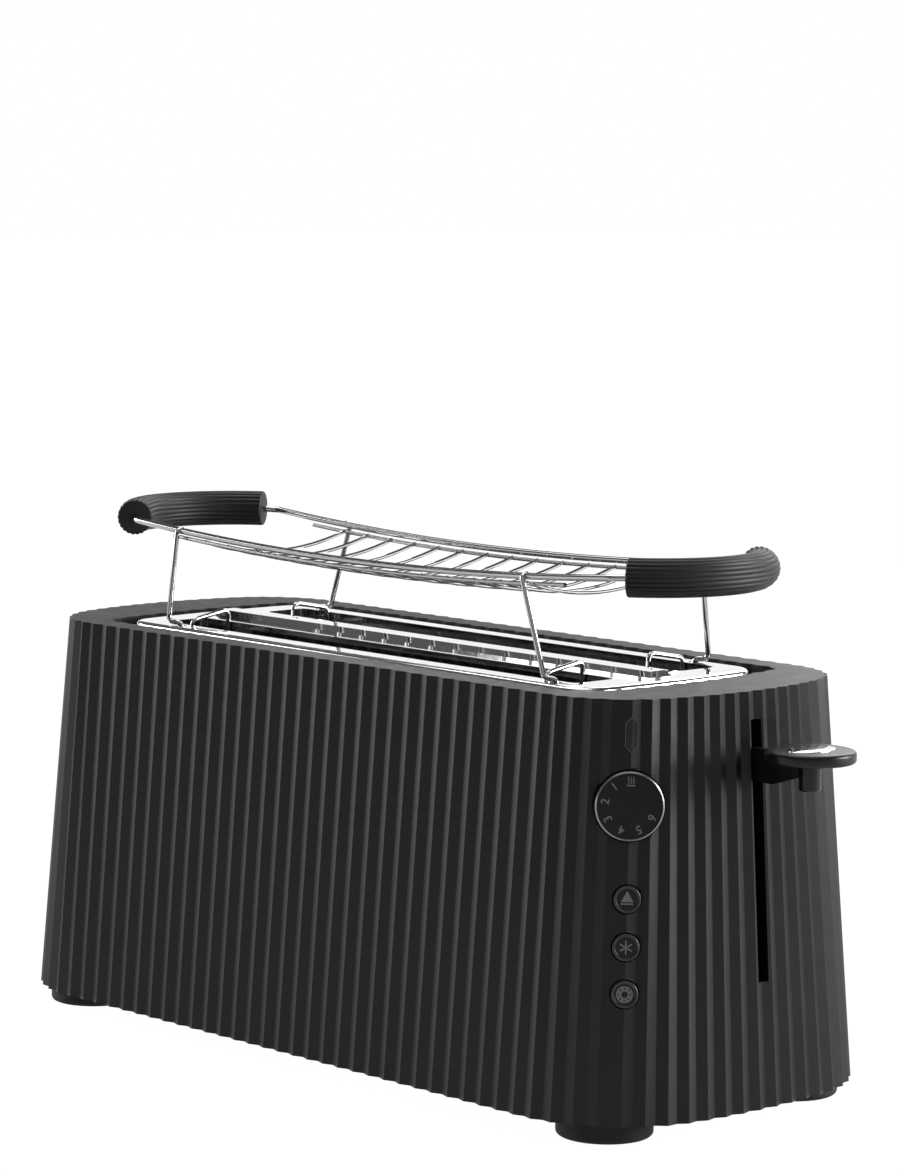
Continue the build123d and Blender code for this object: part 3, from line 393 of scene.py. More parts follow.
def tube(bm, points, radius, sides=16):
    """Round wire through points, with flat ends."""
    tangents = []
    for k in range(len(points)):
        before, after = points[max(k - 1, 0)], points[min(k + 1, len(points) - 1)]
        tangents.append((after - before).normalized())
    turn = tangents[0].to_track_quat("Z", "Y")
    here = Matrix.Translation(points[0]) @ turn.to_matrix().to_4x4()
    ring = bmesh.ops.create_circle(bm, cap_ends=True, radius=radius, segments=sides, matrix=here)["verts"]
    edges = list({edge for vert in ring for edge in vert.link_edges})
    for k in range(1, len(points)):
        turn = tangents[k - 1].rotation_difference(tangents[k]) @ turn
        there = Matrix.Translation(points[k]) @ turn.to_matrix().to_4x4()
        edges = travel(bm, edges, there @ here.inverted())
        here = there
    bmesh.ops.holes_fill(bm, edges=edges, sides=sides)


def rounded_path(points, radius, steps=7):
    """Points along straight runs joined by tangent arcs."""
    path = [points[0]]
    for before, corner, after in zip(points, points[1:], points[2:]):
        arrive, leave = (corner - before).normalized(), (after - corner).normalized()
        half = arrive.angle(leave) / 2
        cut = min(radius * abs(sin(half) / cos(half)), (corner - before).length * 0.48,
                  (after - corner).length * 0.48)
        start, end = corner - arrive * cut, corner + leave * cut
        for k in range(steps + 1):
            share = k / steps
            path.append(start.lerp(corner, share).lerp(corner.lerp(end, share), share))
    path.append(points[-1])
    return path


def lathe(bm, profile, plane, segments=96, material_at=None):
    """Turned solid on a plane's Z axis; profile is (radius, height) from axis to axis."""
    verts = [bm.verts.new(plane @ Vector((radius, 0, height))) for radius, height in profile]
    edges = [bm.edges.new(pair) for pair in zip(verts, verts[1:])]
    if material_at is None:
        bmesh.ops.spin(bm, geom=verts + edges, cent=plane.translation, axis=plane.col[2].xyz, angle=2 * pi,
                       steps=segments, use_merge=True)
        return
    for k, edge in enumerate(edges):
        before = set(bm.faces)
        bmesh.ops.spin(bm, geom=[edge.verts[0], edge.verts[1], edge], cent=plane.translation,
                       axis=plane.col[2].xyz, angle=2 * pi, steps=segments, use_merge=True)
        for face in set(bm.faces) - before:
            face.material_index = material_at[k]


def arc_profile(centre_r, centre_h, radius, start, end, steps=6):
    """Points of an arc in a profile, between two angles in degrees."""
    return [(centre_r + radius * cos(radians(start + (end - start) * k / steps)),
             centre_h + radius * sin(radians(start + (end - start) * k / steps))) for k in range(steps + 1)]


# Bun warmer, as in the model
RACK_HALF_WIDTH = 44.0 * MM
RACK_MIDDLE_Z = 223.8 * MM
RACK_END_RISE = 7.0 * MM
GRIP_END_X = 163.5 * MM
GRIP_R = 49.0 * MM
GRIP_HALF_ANGLE = radians(54.5)
FLUTE_DEPTH = 0.45 * MM
ROD_TURN_R = 9.0 * MM
GRIP_SEAT = 8.0 * MM
WIRE_DROP = 3.2 * MM
LOWER_WIRE_REACH = 130.0 * MM
CROSS_WIRES = 14
CROSS_WIRE_PITCH = 16.5 * MM
CROSS_WIRE_SAG = 7.0 * MM
LEG_TOPS = (-124.0 * MM, 107.0 * MM)
LEG_BENDS = (-126.0 * MM, 125.0 * MM)
LEG_FEET = (-119.0 * MM, 130.0 * MM)
LEG_BEND_Y = 49.8 * MM
LEG_FOOT_Y = 47.5 * MM
LEG_LIFT = 0.3 * MM
LEG_PIN = 5.0 * MM


def rack_z(x):
    """Height of the rods over a place along the toaster, from its middle."""
    return RACK_MIDDLE_Z + RACK_END_RISE * (x / GRIP_END_X) ** 2


def at(x, y, z):
    """Point whose X is counted from the middle of the casing."""
    return Vector((CENTRE_X + x, y, z))


def rack_rod_path(side):
    """Path of a long rod from grip to grip."""
    span = GRIP_R * sin(GRIP_HALF_ANGLE)
    lean = pi / 2 - GRIP_HALF_ANGLE
    swing = (RACK_HALF_WIDTH - span) / sin(lean)
    turn_x = GRIP_END_X - swing * cos(lean)
    stub_x = GRIP_END_X + GRIP_SEAT * cos(lean)
    stub_y = side * (span - GRIP_SEAT * sin(lean))
    y, top = side * RACK_HALF_WIDTH, rack_z(GRIP_END_X)
    bow_x = turn_x - 2 * ROD_TURN_R
    bow = [at(x, y, rack_z(x)) for x in (bow_x * (k / 14 - 1) for k in range(29))]
    left = rounded_path([at(-stub_x, stub_y, top), at(-turn_x, y, rack_z(turn_x)), bow[0]], ROD_TURN_R)
    right = rounded_path([bow[-1], at(turn_x, y, rack_z(turn_x)), at(stub_x, stub_y, top)], ROD_TURN_R)
    return left + bow[1:-1] + right


def leg_path(k, turned):
    """Path of a leg from the rod to the pin in the plate's hole."""
    sign = -1 if turned else 1
    wire = scene_values()[1].leg_wire
    lie = RIM_Z + wire / 2 + LEG_LIFT
    top_y = RACK_HALF_WIDTH + 1.5 * MM
    points = [(LEG_TOPS[k], -top_y + wire, rack_z(LEG_TOPS[k]) + 0.4 * wire),
              (LEG_TOPS[k], -top_y - 0.3 * wire, rack_z(LEG_TOPS[k])),
              (LEG_BENDS[k], -LEG_BEND_Y, lie), (LEG_FEET[k], -LEG_FOOT_Y, lie),
              (LEG_FEET[k], -LEG_FOOT_Y, RIM_Z - LEG_PIN)]
    return rounded_path([at(sign * x, sign * y, z) for x, y, z in points], 2.0 * wire)


class TOASTER_OT_finishes(bpy.types.Operator):
    """Give every node of the model its finish"""

    bl_idname = "toaster.finishes"
    bl_label = "Finishes"

    def execute(self, context):
        FINISHES.update(make_finishes())
        for part in frame["record"]["subparts"]:
            node = frame["nodes"][part["node"]]
            node.data.materials.clear()
            slot = "black_shell" if part["node"] == "lever_arm" else part["material_slot"]
            node.data.materials.append(finish(FINISH_OF_SLOT[slot]))
        return {"FINISHED"}


class TOASTER_OT_bun_warmer(bpy.types.Operator):
    """Chromed wires of the bun warmer"""

    bl_idname = "toaster.bun_warmer"
    bl_label = "Bun warmer"

    def execute(self, context):
        sizes = scene_values()[1]
        bm = bmesh.new()
        for side in (-1, 1):
            tube(bm, rack_rod_path(side), sizes.rod / 2, 20)
            y = side * (RACK_HALF_WIDTH - sizes.thin_wire / 2)
            runs = [at(x, y, rack_z(x) - WIRE_DROP) for x in (LOWER_WIRE_REACH * (k / 12 - 1) for k in range(25))]
            tube(bm, runs, sizes.thin_wire / 2, 12)
        first = -CROSS_WIRE_PITCH * (CROSS_WIRES - 1) / 2
        for k in range(CROSS_WIRES):
            x = first + k * CROSS_WIRE_PITCH
            top = rack_z(x) - WIRE_DROP
            reach = RACK_HALF_WIDTH - 0.5 * MM
            runs = [at(x, reach * share, top - CROSS_WIRE_SAG * (1 - share ** 2) + 0.4 * MM)
                    for share in (j / 8 - 1 for j in range(17))]
            tube(bm, runs, sizes.thin_wire / 2, 10)
        for k in (0, 1):
            for turned in (False, True):
                tube(bm, leg_path(k, turned), sizes.leg_wire / 2, 16)
        piece = add_piece("bun_warmer_wires", bm, "bun_warmer", "chrome_wire", finish("chrome"))
        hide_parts("rack_wires")
        return {"FINISHED"}


class TOASTER_OT_grips(bpy.types.Operator):
    """Fluted grips at the ends of the bun warmer"""

    bl_idname = "toaster.grips"
    bl_label = "Grips"

    def execute(self, context):
        for side, name in ((-1, "left"), (1, "right")):
            bm = bmesh.new()
            self.add_grip(bm, side)
            piece = add_piece(f"grip_{name}", bm, "bun_warmer", "black_grip", finish("grip"), sharp=radians(50))
            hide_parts(f"rack_grip_{name}")
        return {"FINISHED"}

    def add_grip(self, bm, side):
        """Sweeps the fluted section round the end of the rack."""
        sizes = scene_values()[1]
        z = rack_z(GRIP_END_X)
        centre_x = GRIP_END_X - GRIP_R * cos(GRIP_HALF_ANGLE)
        swivel = Matrix.Translation(at(side * centre_x, 0, z)) @ Matrix.Rotation(0 if side > 0 else pi, 4, "Z")
        place = swivel @ Matrix.Rotation(-GRIP_HALF_ANGLE, 4, "Z") @ Matrix.Translation(Vector((GRIP_R, 0, 0)))
        outer = sizes.grip_thickness / 2
        per_flute = 6
        count = sizes.grip_flutes * per_flute
        ring = bmesh.ops.create_circle(bm, cap_ends=True, radius=outer, segments=count,
                                       matrix=place @ Matrix.Rotation(pi / 2, 4, "X"))["verts"]
        middle_point = place.translation
        for vert in ring:
            spoke = vert.co - middle_point
            flat = place.inverted().to_3x3() @ spoke
            wave = abs(cos(atan2(flat.z, flat.x) * sizes.grip_flutes / 2))
            vert.co = middle_point + spoke * (1 - FLUTE_DEPTH / outer * (1 - wave) ** 1.5)
        edges = list({edge for vert in ring for edge in vert.link_edges})
        steps = 40
        step = Matrix.Translation(swivel.translation) @ Matrix.Rotation(
            2 * GRIP_HALF_ANGLE / steps, 4, "Z") @ Matrix.Translation(-swivel.translation)
        for _ in range(steps):
            edges = travel(bm, edges, step)
        bmesh.ops.holes_fill(bm, edges=edges, sides=count)
        rims = [edge for edge in bm.edges if any(len(face.verts) == count for face in edge.link_faces)]
        bmesh.ops.bevel(bm, geom=rims, offset=0.9 * MM, offset_type="OFFSET", segments=3, profile=0.5,
                        affect="EDGES", material=-1)


HOOP_OUTER_Y = 43.0 * MM
HOOP_INNER_Y = 19.0 * MM
HOOP_OUTER_RISE = 2.2 * MM
HOOP_INNER_RISE = 6.0 * MM
HOOP_BEND = 3.3 * MM


class TOASTER_OT_slot_hoops(bpy.types.Operator):
    """Wires that bend over the ends of both slots"""

    bl_idname = "toaster.slot_hoops"
    bl_label = "Slot hoops"

    def execute(self, context):
        sizes = scene_values()[1]
        low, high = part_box("slot_end_hoops")
        radius = sizes.hoop_wire / 2
        bm = bmesh.new()
        for x in (low.x + radius, high.x - radius):
            for side in (-1, 1):
                outer = side * (HOOP_OUTER_Y - radius)
                inner = side * (HOOP_INNER_Y + radius)
                points = [(x, outer, low.z), (x, outer, RIM_Z + HOOP_OUTER_RISE),
                          (x, inner, RIM_Z + HOOP_INNER_RISE), (x, inner, low.z)]
                tube(bm, rounded_path([Vector(point) for point in points], HOOP_BEND), radius, 14)
        piece = add_piece("slot_hoop_wires", bm, "housing", "polished_steel", finish("chrome"))
        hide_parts("slot_end_hoops")
        return {"FINISHED"}


def control_axes():
    """Up the ridge that carries the controls, and out of it."""
    outward = Vector(JOINTS["dial_turn"]["axis"]).normalized()
    up = (middle(BUTTONS[0]) - middle(BUTTONS[-1])).normalized()
    up = (up - outward * up.dot(outward)).normalized()
    return up, outward


def control_plane(point):
    """Plane at the foot of a point on the control ridge: X right, Y up, Z outwards."""
    up, outward = control_axes()
    origin = Vector(JOINTS["dial_turn"]["pos_m"])
    origin = origin + up * (point - origin).dot(up)
    plane = Matrix((up.cross(outward), up, outward)).transposed().to_4x4()
    plane.translation = origin
    return plane


PRINT_RISE = 0.03 * MM
LETTER_WEIGHT = 0.012


def add_text(text, size, place, name):
    """Mesh of flat lettering, raised a little, centred on a place."""
    curve = bpy.data.curves.new(name, "FONT")
    curve.body = text
    curve.size = size
    curve.offset = LETTER_WEIGHT * size
    curve.align_x = "CENTER"
    curve.align_y = "CENTER"
    curve.extrude = PRINT_RISE
    letter = bpy.data.objects.new(name, curve)
    bpy.context.scene.collection.objects.link(letter)
    bpy.context.view_layer.update()
    mesh = bpy.data.meshes.new_from_object(letter)
    bpy.data.objects.remove(letter)
    mesh.transform(place)
    return mesh


def bar(bm, start, end, width, plane):
    """Thin flat stroke between two points of a plane, in metres."""
    run = Vector((end[0] - start[0], end[1] - start[1]))
    centre = ((start[0] + end[0]) / 2, (start[1] + end[1]) / 2)
    place = (plane @ Matrix.Translation((*centre, 0)) @ Matrix.Rotation(atan2(run.y, run.x), 4, "Z")
             @ Matrix.Diagonal((run.length, width, 2 * PRINT_RISE, 1)))
    bmesh.ops.create_cube(bm, size=1, matrix=place)


def stroke(bm, points, width, plane):
    """Flat stroke through points of a plane."""
    for start, end in zip(points, points[1:]):
        bar(bm, start, end, width, plane)


DIAL_DEPTH = 5.4 * MM
DIAL_RIM = 0.6 * MM
DIAL_RING = 0.5 * MM
DIAL_FACE = 0.1 * MM
HEAT_ANGLE = radians(88)
FIRST_NUMERAL = radians(129)
NUMERAL_STEP = radians(41)
NUMERAL_REACH = 0.71


class TOASTER_OT_dial(bpy.types.Operator):
    """Browning dial with a painted highlight on its bevel, numerals and heat symbol"""

    bl_idname = "toaster.dial"
    bl_label = "Dial"

    def execute(self, context):
        radius = scene_values()[1].dial_radius
        plane = control_plane(Vector(JOINTS["dial_turn"]["pos_m"]))
        rim, ring = DIAL_RIM, DIAL_RING
        profile = [(0, -DIAL_DEPTH), (radius, -DIAL_DEPTH), (radius, rim - ring), (radius - ring, rim),
                   (radius - 1.5 * ring, rim), (radius - 2 * ring, DIAL_FACE), (0, DIAL_FACE)]
        bm = bmesh.new()
        # The bevel and the flat ring on it take the second finish, grey polished metal that paints the edge
        # highlight.
        lathe(bm, profile, plane, 128, (0, 0, 1, 1, 0, 0))
        piece = add_piece("browning_dial", bm, "dial", "control_black", finish("control"), finish("dial_bevel_painted_highlight"),
                          sharp=radians(25))
        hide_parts("dial")
        self.add_marks(plane, radius)
        return {"FINISHED"}

    def add_marks(self, plane, radius):
        """Numerals read outwards round the face, with the heat symbol before the first."""
        face = plane @ Matrix.Translation((0, 0, DIAL_FACE))
        bm = bmesh.new()
        for k in range(6):
            angle = FIRST_NUMERAL + NUMERAL_STEP * k
            place = (face @ Matrix.Rotation(angle, 4, "Z") @ Matrix.Translation((NUMERAL_REACH * radius, 0, 0))
                     @ Matrix.Rotation(-pi / 2, 4, "Z"))
            mesh = add_text(str(k + 1), 0.34 * radius, place, f"numeral_{k + 1}")
            bm.from_mesh(mesh)
            bpy.data.meshes.remove(mesh)
        heat = (face @ Matrix.Rotation(HEAT_ANGLE, 4, "Z") @ Matrix.Translation((0.71 * radius, 0, 0))
                @ Matrix.Rotation(-pi / 2, 4, "Z"))
        half = 0.1 * radius
        line = 0.028 * radius
        for k in (-1, 0, 1):
            wave = [(k * 0.75 * half + 0.16 * half * sin(2 * pi * j / 8), half * (j / 4 - 0.6)) for j in range(9)]
            stroke(bm, wave, line, heat)
        bar(bm, (-1.2 * half, -1.1 * half), (1.2 * half, -1.1 * half), 1.4 * line, heat)
        add_piece("dial_marks", bm, "dial", "control_black", finish("printing"))


BUTTON_DEPTH = 9.5 * MM
BUTTON_PROUD = 0.6 * MM
BUTTON_EDGE = 0.6 * MM
BUTTON_DISH = 0.45 * MM


class TOASTER_OT_buttons(bpy.types.Operator):
    """Three push buttons with flat faces in rounded rims painted lighter as a highlight, and printed symbols"""

    bl_idname = "toaster.buttons"
    bl_label = "Buttons"

    def execute(self, context):
        draw = {"eject_button": self.eject, "defrost_button": self.defrost, "bagel_button": self.bagel}
        for name in BUTTONS:
            self.add_button(name, draw[name])
        return {"FINISHED"}

    def add_button(self, name, draw):
        """A cap, and a symbol on its face."""
        radius = scene_values()[1].button_radius
        plane = control_plane(middle(name))
        proud, edge = BUTTON_PROUD, BUTTON_EDGE
        profile = [(0, -BUTTON_DEPTH), (radius, -BUTTON_DEPTH)]
        profile += arc_profile(radius - edge, proud - edge, edge, 0, 100)
        profile += [(0.8 * radius, proud - 0.6 * BUTTON_DISH), (0.76 * radius, proud - BUTTON_DISH),
                    (0, proud - BUTTON_DISH)]
        bm = bmesh.new()
        # The rounded rim and its slope take the second finish, a lighter grey that paints the edge highlight.
        rim_edges = len(profile) - 5
        lathe(bm, profile, plane, 64, (0, 0) + (1,) * rim_edges + (0, 0))
        piece = add_piece(f"{name}_cap", bm, name, "control_black", finish("control"), finish("button_rim_painted_highlight"))
        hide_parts(name)
        bm = bmesh.new()
        draw(bm, plane @ Matrix.Translation((0, 0, proud - BUTTON_DISH)), radius)
        add_piece(f"{name}_mark", bm, name, "control_black", finish("printing"), finish("control"))

    def eject(self, bm, face, radius):
        """Triangle over a bar."""
        half = 0.46 * radius
        tall = Matrix.Diagonal((1.0, 1.02, 1.0, 1.0))
        bmesh.ops.create_cone(bm, cap_ends=True, segments=3, radius1=half / cos(pi / 6), radius2=half / cos(pi / 6),
                              depth=2 * PRINT_RISE, matrix=face @ Matrix.Translation((0, 0.08 * radius, 0)) @ tall)
        bar(bm, (-half, -0.33 * radius), (half, -0.33 * radius), 0.11 * radius, face)

    def defrost(self, bm, face, radius):
        """Six-armed star."""
        reach = 0.5 * radius
        for k in range(3):
            arm = face @ Matrix.Rotation(k * pi / 3 + pi / 6, 4, "Z")
            bar(bm, (-reach, 0), (reach, 0), 0.11 * radius, arm)

    def bagel(self, bm, face, radius):
        """Broad ring with short slanting slots."""
        lathe(bm, [(0.24 * radius, -PRINT_RISE), (0.61 * radius, -PRINT_RISE), (0.61 * radius, PRINT_RISE),
                   (0.24 * radius, PRINT_RISE), (0.24 * radius, -PRINT_RISE)], face, 64)
        count = 8
        before = set(bm.faces)
        for k in range(count):
            spot = face @ Matrix.Rotation(2 * pi * k / count, 4, "Z") @ Matrix.Translation(
                (0.43 * radius, 0, PRINT_RISE))
            slant = spot @ Matrix.Rotation(radians(50), 4, "Z")
            bar(bm, (-0.09 * radius, 0), (0.09 * radius, 0), 0.09 * radius, slant)
        for face_of_slot in set(bm.faces) - before:
            face_of_slot.material_index = 1


WELL_DEPTH = 1.4 * MM
WELL_REACH = 8 * MM
DIAL_GAP = 1.3 * MM
BUTTON_GAP = 0.9 * MM


class TOASTER_OT_casing(bpy.types.Operator):
    """Casing with a shallow well round the dial and each button"""

    bl_idname = "toaster.casing"
    bl_label = "Casing"

    def execute(self, context):
        sizes = scene_values()[1]
        shell = self.plain_object("shell", self.merged_copy("casing"))
        bm = bmesh.new()
        wells = [(Vector(JOINTS["dial_turn"]["pos_m"]), sizes.dial_radius + DIAL_GAP)]
        wells += [(middle(name), sizes.button_radius + BUTTON_GAP) for name in BUTTONS]
        for spot, radius in wells:
            plane = control_plane(spot)
            lathe(bm, [(0, -WELL_DEPTH), (radius, -WELL_DEPTH), (radius, WELL_REACH), (0, WELL_REACH)], plane, 96)
        bmesh.ops.recalc_face_normals(bm, faces=bm.faces)
        cutter = self.plain_object("wells", bm)
        cut = shell.modifiers.new("wells", "BOOLEAN")
        cut.operation = "DIFFERENCE"
        cut.solver = "EXACT"
        cut.object = cutter
        context.view_layer.update()
        result = bmesh.new()
        result.from_object(shell, context.evaluated_depsgraph_get())
        for spare in (shell, cutter):
            bpy.data.objects.remove(spare)
        piece = add_piece("casing_shell", result, "housing", "black_shell", finish("shell"), sharp=radians(7))
        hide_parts("casing")
        return {"FINISHED"}

    def merged_copy(self, node):
        """Copy of a node's mesh with its triangles joined."""
        bm = bmesh.new()
        bm.from_mesh(frame["nodes"][node].data)
        bmesh.ops.remove_doubles(bm, verts=bm.verts, dist=0.001 * MM)
        return bm

    def plain_object(self, name, bm):
        """Object that holds a bmesh for a cut."""
        mesh = bpy.data.meshes.new(name)
        bm.to_mesh(mesh)
        bm.free()
        holder = bpy.data.objects.new(name, mesh)
        bpy.context.scene.collection.objects.link(holder)
        return holder


class TOASTER_OT_lens(bpy.types.Operator):
    """Smoked indicator lens with a raised rim and two faces that meet on the ridge"""

    bl_idname = "toaster.lens"
    bl_label = "Indicator lens"

    def execute(self, context):
        plane = control_plane(middle("indicator_lens"))
        half, tip = 2.65 * MM, 7.45 * MM
        rim, ridge = 0.35 * MM, 0.85 * MM
        shoulder = tip - half
        outline = [(half, shoulder), (0, tip), (-half, shoulder), (-half, -shoulder), (0, -tip), (half, -shoulder)]
        bm = bmesh.new()
        verts = [bm.verts.new((x, y, -3.0 * MM)) for x, y in outline]
        foot = bm.faces.new(verts)
        made = bmesh.ops.extrude_face_region(bm, geom=[foot])["geom"]
        top = [part for part in made if isinstance(part, bmesh.types.BMFace)][0]
        bmesh.ops.translate(bm, verts=top.verts, vec=(0, 0, 3.1 * MM))
        edging = bmesh.ops.inset_region(bm, faces=[top], thickness=rim, depth=0)["faces"]
        for face in edging:
            face.material_index = 1
        bmesh.ops.inset_region(bm, faces=[top], thickness=0.12 * MM, depth=-0.2 * MM)
        tips = [vert for vert in top.verts if abs(vert.co.x) < 0.01 * MM]
        bmesh.ops.connect_verts(bm, verts=tips)
        bmesh.ops.subdivide_edges(bm, edges=[bm.edges.get(tips)], cuts=2)
        crest = [vert for vert in bm.verts if abs(vert.co.x) < 0.01 * MM and abs(vert.co.y) < shoulder]
        bmesh.ops.translate(bm, verts=crest, vec=(0, 0, ridge))
        bmesh.ops.transform(bm, matrix=plane, verts=bm.verts)
        piece = add_piece("lens", bm, "housing", "lens_clear", finish("lens"), finish("lens_rim"), sharp=radians(5))
        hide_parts("indicator_lens")
        return {"FINISHED"}


class TOASTER_OT_lever(bpy.types.Operator):
    """Round lever knob with its polished oval"""

    bl_idname = "toaster.lever"
    bl_label = "Lever"

    def execute(self, context):
        low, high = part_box("lever_knob")
        inlay_low, inlay_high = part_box("knob_inlay")
        centre = middle("knob_inlay")
        radius = (high.y - low.y) / 2
        thickness, edge = 5.2 * MM, 1.6 * MM
        plane = Matrix.Translation((centre.x, 0, high.z))
        boss, boss_low = 4.6 * MM, low.z - high.z
        profile = [(0, boss_low)] + arc_profile(boss - 1.1 * MM, boss_low + 1.1 * MM, 1.1 * MM, -90, 0)
        profile += [(boss, -thickness)]
        profile += arc_profile(radius - edge, -thickness + edge, edge, -90, 0, 8)
        profile += arc_profile(radius - edge, -edge, edge, 0, 90, 8) + [(0, 0)]
        bm = bmesh.new()
        lathe(bm, profile, plane, 128)
        piece = add_piece("lever_disc", bm, "carriage", "black_shell", finish("knob"))
        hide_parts("lever_knob")
        size = inlay_high - inlay_low
        bm = bmesh.new()
        oval = Matrix.Translation((centre.x, centre.y, inlay_low.z)) @ Matrix.Diagonal(
            (size.x / 2, size.y / 2, 1, 1))
        rise = inlay_high.z - inlay_low.z
        lathe(bm, [(0, 0), (1, 0), (1, rise - 0.3 * MM), (0.985, rise - 0.1 * MM), (0.96, rise), (0, rise)],
              Matrix.Identity(4), 128)
        bmesh.ops.transform(bm, matrix=oval, verts=bm.verts)
        piece = add_piece("lever_oval", bm, "carriage", "polished_steel", finish("plate"))
        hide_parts("knob_inlay")
        return {"FINISHED"}


LAMPS = {
    "overhead": ((-0.9, 0.2, 1.9), 1.2, 12),
    "back": ((-0.6, 1.6, 1.2), 1.2, 12),
    "left": ((-1.9, -0.7, 0.7), 1.0, 18),
    "right": ((1.45, 1.5, 0.8), 1.0, 52),
}
# Heights of a direction, 0 at the horizon and 1 overhead, between which the surroundings change
LOW_GLOW_FADES = (0.17, 0.24)
TOP_GLOW_STARTS = (0.88, 0.96)
FRONT_STARTS = (0.34, 0.46)
FRONT_FADES = (0.8, 0.9)
# How far a direction points at the camera's side, between which behind turns into front
SIDE_TURNS = (0.2, 0.62)
FLOOR_GLOW = 1.1
FLOOR_CAMERA_SHARE = 0.9
FLOOR_MIRROR_SHARE = 0.45


class TOASTER_OT_stage(bpy.types.Operator):
    """Floor, surroundings, lamps and the camera"""

    bl_idname = "toaster.stage"
    bl_label = "Stage"

    def execute(self, context):
        self.add_floor()
        self.add_world()
        for name, (place, size, power) in LAMPS.items():
            self.add_lamp(name, place, size, power)
        self.add_camera()
        context.scene.view_settings.view_transform = "Standard"
        return {"FINISHED"}

    def add_floor(self):
        """White floor that reads as the background and keeps a faint shadow."""
        bm = bmesh.new()
        bmesh.ops.create_grid(bm, x_segments=1, y_segments=1, size=12)
        mesh = bpy.data.meshes.new("floor")
        bm.to_mesh(mesh)
        bm.free()
        floor = bpy.data.objects.new("floor", mesh)
        bpy.context.scene.collection.objects.link(floor)
        material = new_material("floor", (0.45, 0.45, 0.45), 0.9)
        tree = material.node_tree
        glow = tree.nodes.new("ShaderNodeEmission")
        glow.inputs["Strength"].default_value = FLOOR_GLOW
        mix = tree.nodes.new("ShaderNodeMixShader")
        output = tree.nodes["Material Output"]
        tree.links.new(self.seen_rays(tree, FLOOR_CAMERA_SHARE, FLOOR_MIRROR_SHARE), mix.inputs["Fac"])
        tree.links.new(tree.nodes["Principled BSDF"].outputs["BSDF"], mix.inputs[1])
        tree.links.new(glow.outputs["Emission"], mix.inputs[2])
        tree.links.new(mix.outputs["Shader"], output.inputs["Surface"])
        mesh.materials.append(material)

    def seen_rays(self, tree, camera_share, mirror_share):
        """Share of the glow that camera rays see, and that glossy and transmission rays see."""
        path = tree.nodes.new("ShaderNodeLightPath")
        mirror = tree.nodes.new("ShaderNodeMath")
        mirror.operation = "MAXIMUM"
        tree.links.new(path.outputs["Is Glossy Ray"], mirror.inputs[0])
        tree.links.new(path.outputs["Is Transmission Ray"], mirror.inputs[1])
        shares = []
        for ray, share in ((path.outputs["Is Camera Ray"], camera_share), (mirror.outputs["Value"], mirror_share)):
            part = tree.nodes.new("ShaderNodeMath")
            part.operation = "MULTIPLY"
            part.inputs[1].default_value = share
            tree.links.new(ray, part.inputs[0])
            shares.append(part.outputs["Value"])
        total = tree.nodes.new("ShaderNodeMath")
        total.operation = "MAXIMUM"
        for socket, share in zip(total.inputs, shares):
            tree.links.new(share, socket)
        return total.outputs["Value"]

    def add_world(self):
        """White to the camera; lit by height, one way behind the object and another behind the camera."""
        stage = scene_values()[2]
        world = bpy.data.worlds.new("surroundings")
        world.use_nodes = True
        bpy.context.scene.world = world
        tree = world.node_tree
        back = tree.nodes["Background"]
        back.inputs["Color"].default_value = (1, 1, 1, 1)
        place = tree.nodes.new("ShaderNodeTexCoord")
        toward = tree.nodes.new("ShaderNodeVectorMath")
        toward.operation = "DOT_PRODUCT"
        toward.inputs[1].default_value = (sin(stage.turn), -cos(stage.turn), 0)
        fade = tree.nodes.new("ShaderNodeMapRange")
        fade.interpolation_type = "SMOOTHSTEP"
        fade.inputs["From Min"].default_value = SIDE_TURNS[0]
        fade.inputs["From Max"].default_value = SIDE_TURNS[1]
        height = tree.nodes.new("ShaderNodeSeparateXYZ")
        behind_greys = (stage.bright, stage.band, stage.band, stage.bright)
        front_greys = (stage.dim, stage.front, stage.front, stage.band)
        behind = self.height_ramp(tree, tuple(zip(LOW_GLOW_FADES + TOP_GLOW_STARTS, behind_greys)))
        front = self.height_ramp(tree, tuple(zip(FRONT_STARTS + FRONT_FADES, front_greys)))
        both = tree.nodes.new("ShaderNodeMix")
        both.data_type = "FLOAT"
        path = tree.nodes.new("ShaderNodeLightPath")
        mix = tree.nodes.new("ShaderNodeMix")
        mix.data_type = "FLOAT"
        mix.inputs["B"].default_value = 1.0
        tree.links.new(place.outputs["Generated"], toward.inputs[0])
        tree.links.new(place.outputs["Generated"], height.inputs["Vector"])
        tree.links.new(height.outputs["Z"], behind.inputs["Fac"])
        tree.links.new(height.outputs["Z"], front.inputs["Fac"])
        tree.links.new(toward.outputs["Value"], fade.inputs["Value"])
        tree.links.new(fade.outputs["Result"], both.inputs["Factor"])
        tree.links.new(behind.outputs["Color"], both.inputs["A"])
        tree.links.new(front.outputs["Color"], both.inputs["B"])
        tree.links.new(path.outputs["Is Camera Ray"], mix.inputs["Factor"])
        tree.links.new(both.outputs["Result"], mix.inputs["A"])
        tree.links.new(mix.outputs["Result"], back.inputs["Strength"])

    def height_ramp(self, tree, stops):
        """Grey that follows the height of a direction, through (height, brightness) stops."""
        ramp = tree.nodes.new("ShaderNodeValToRGB")
        elements = ramp.color_ramp.elements
        for element, (position, grey) in zip(elements, (stops[0], stops[-1])):
            element.position = position
            element.color = (grey, grey, grey, 1)
        for position, grey in stops[1:-1]:
            elements.new(position).color = (grey, grey, grey, 1)
        return ramp

    def add_lamp(self, name, place, size, power):
        """Soft square lamp that faces the toaster."""
        lamp = bpy.data.lights.new(name, "AREA")
        lamp.size = size
        lamp.energy = power
        holder = bpy.data.objects.new(name, lamp)
        holder.location = place
        aim = Vector((0, 0, 0.1)) - Vector(place)
        holder.rotation_euler = aim.to_track_quat("-Z", "Y").to_euler()
        bpy.context.scene.collection.objects.link(holder)

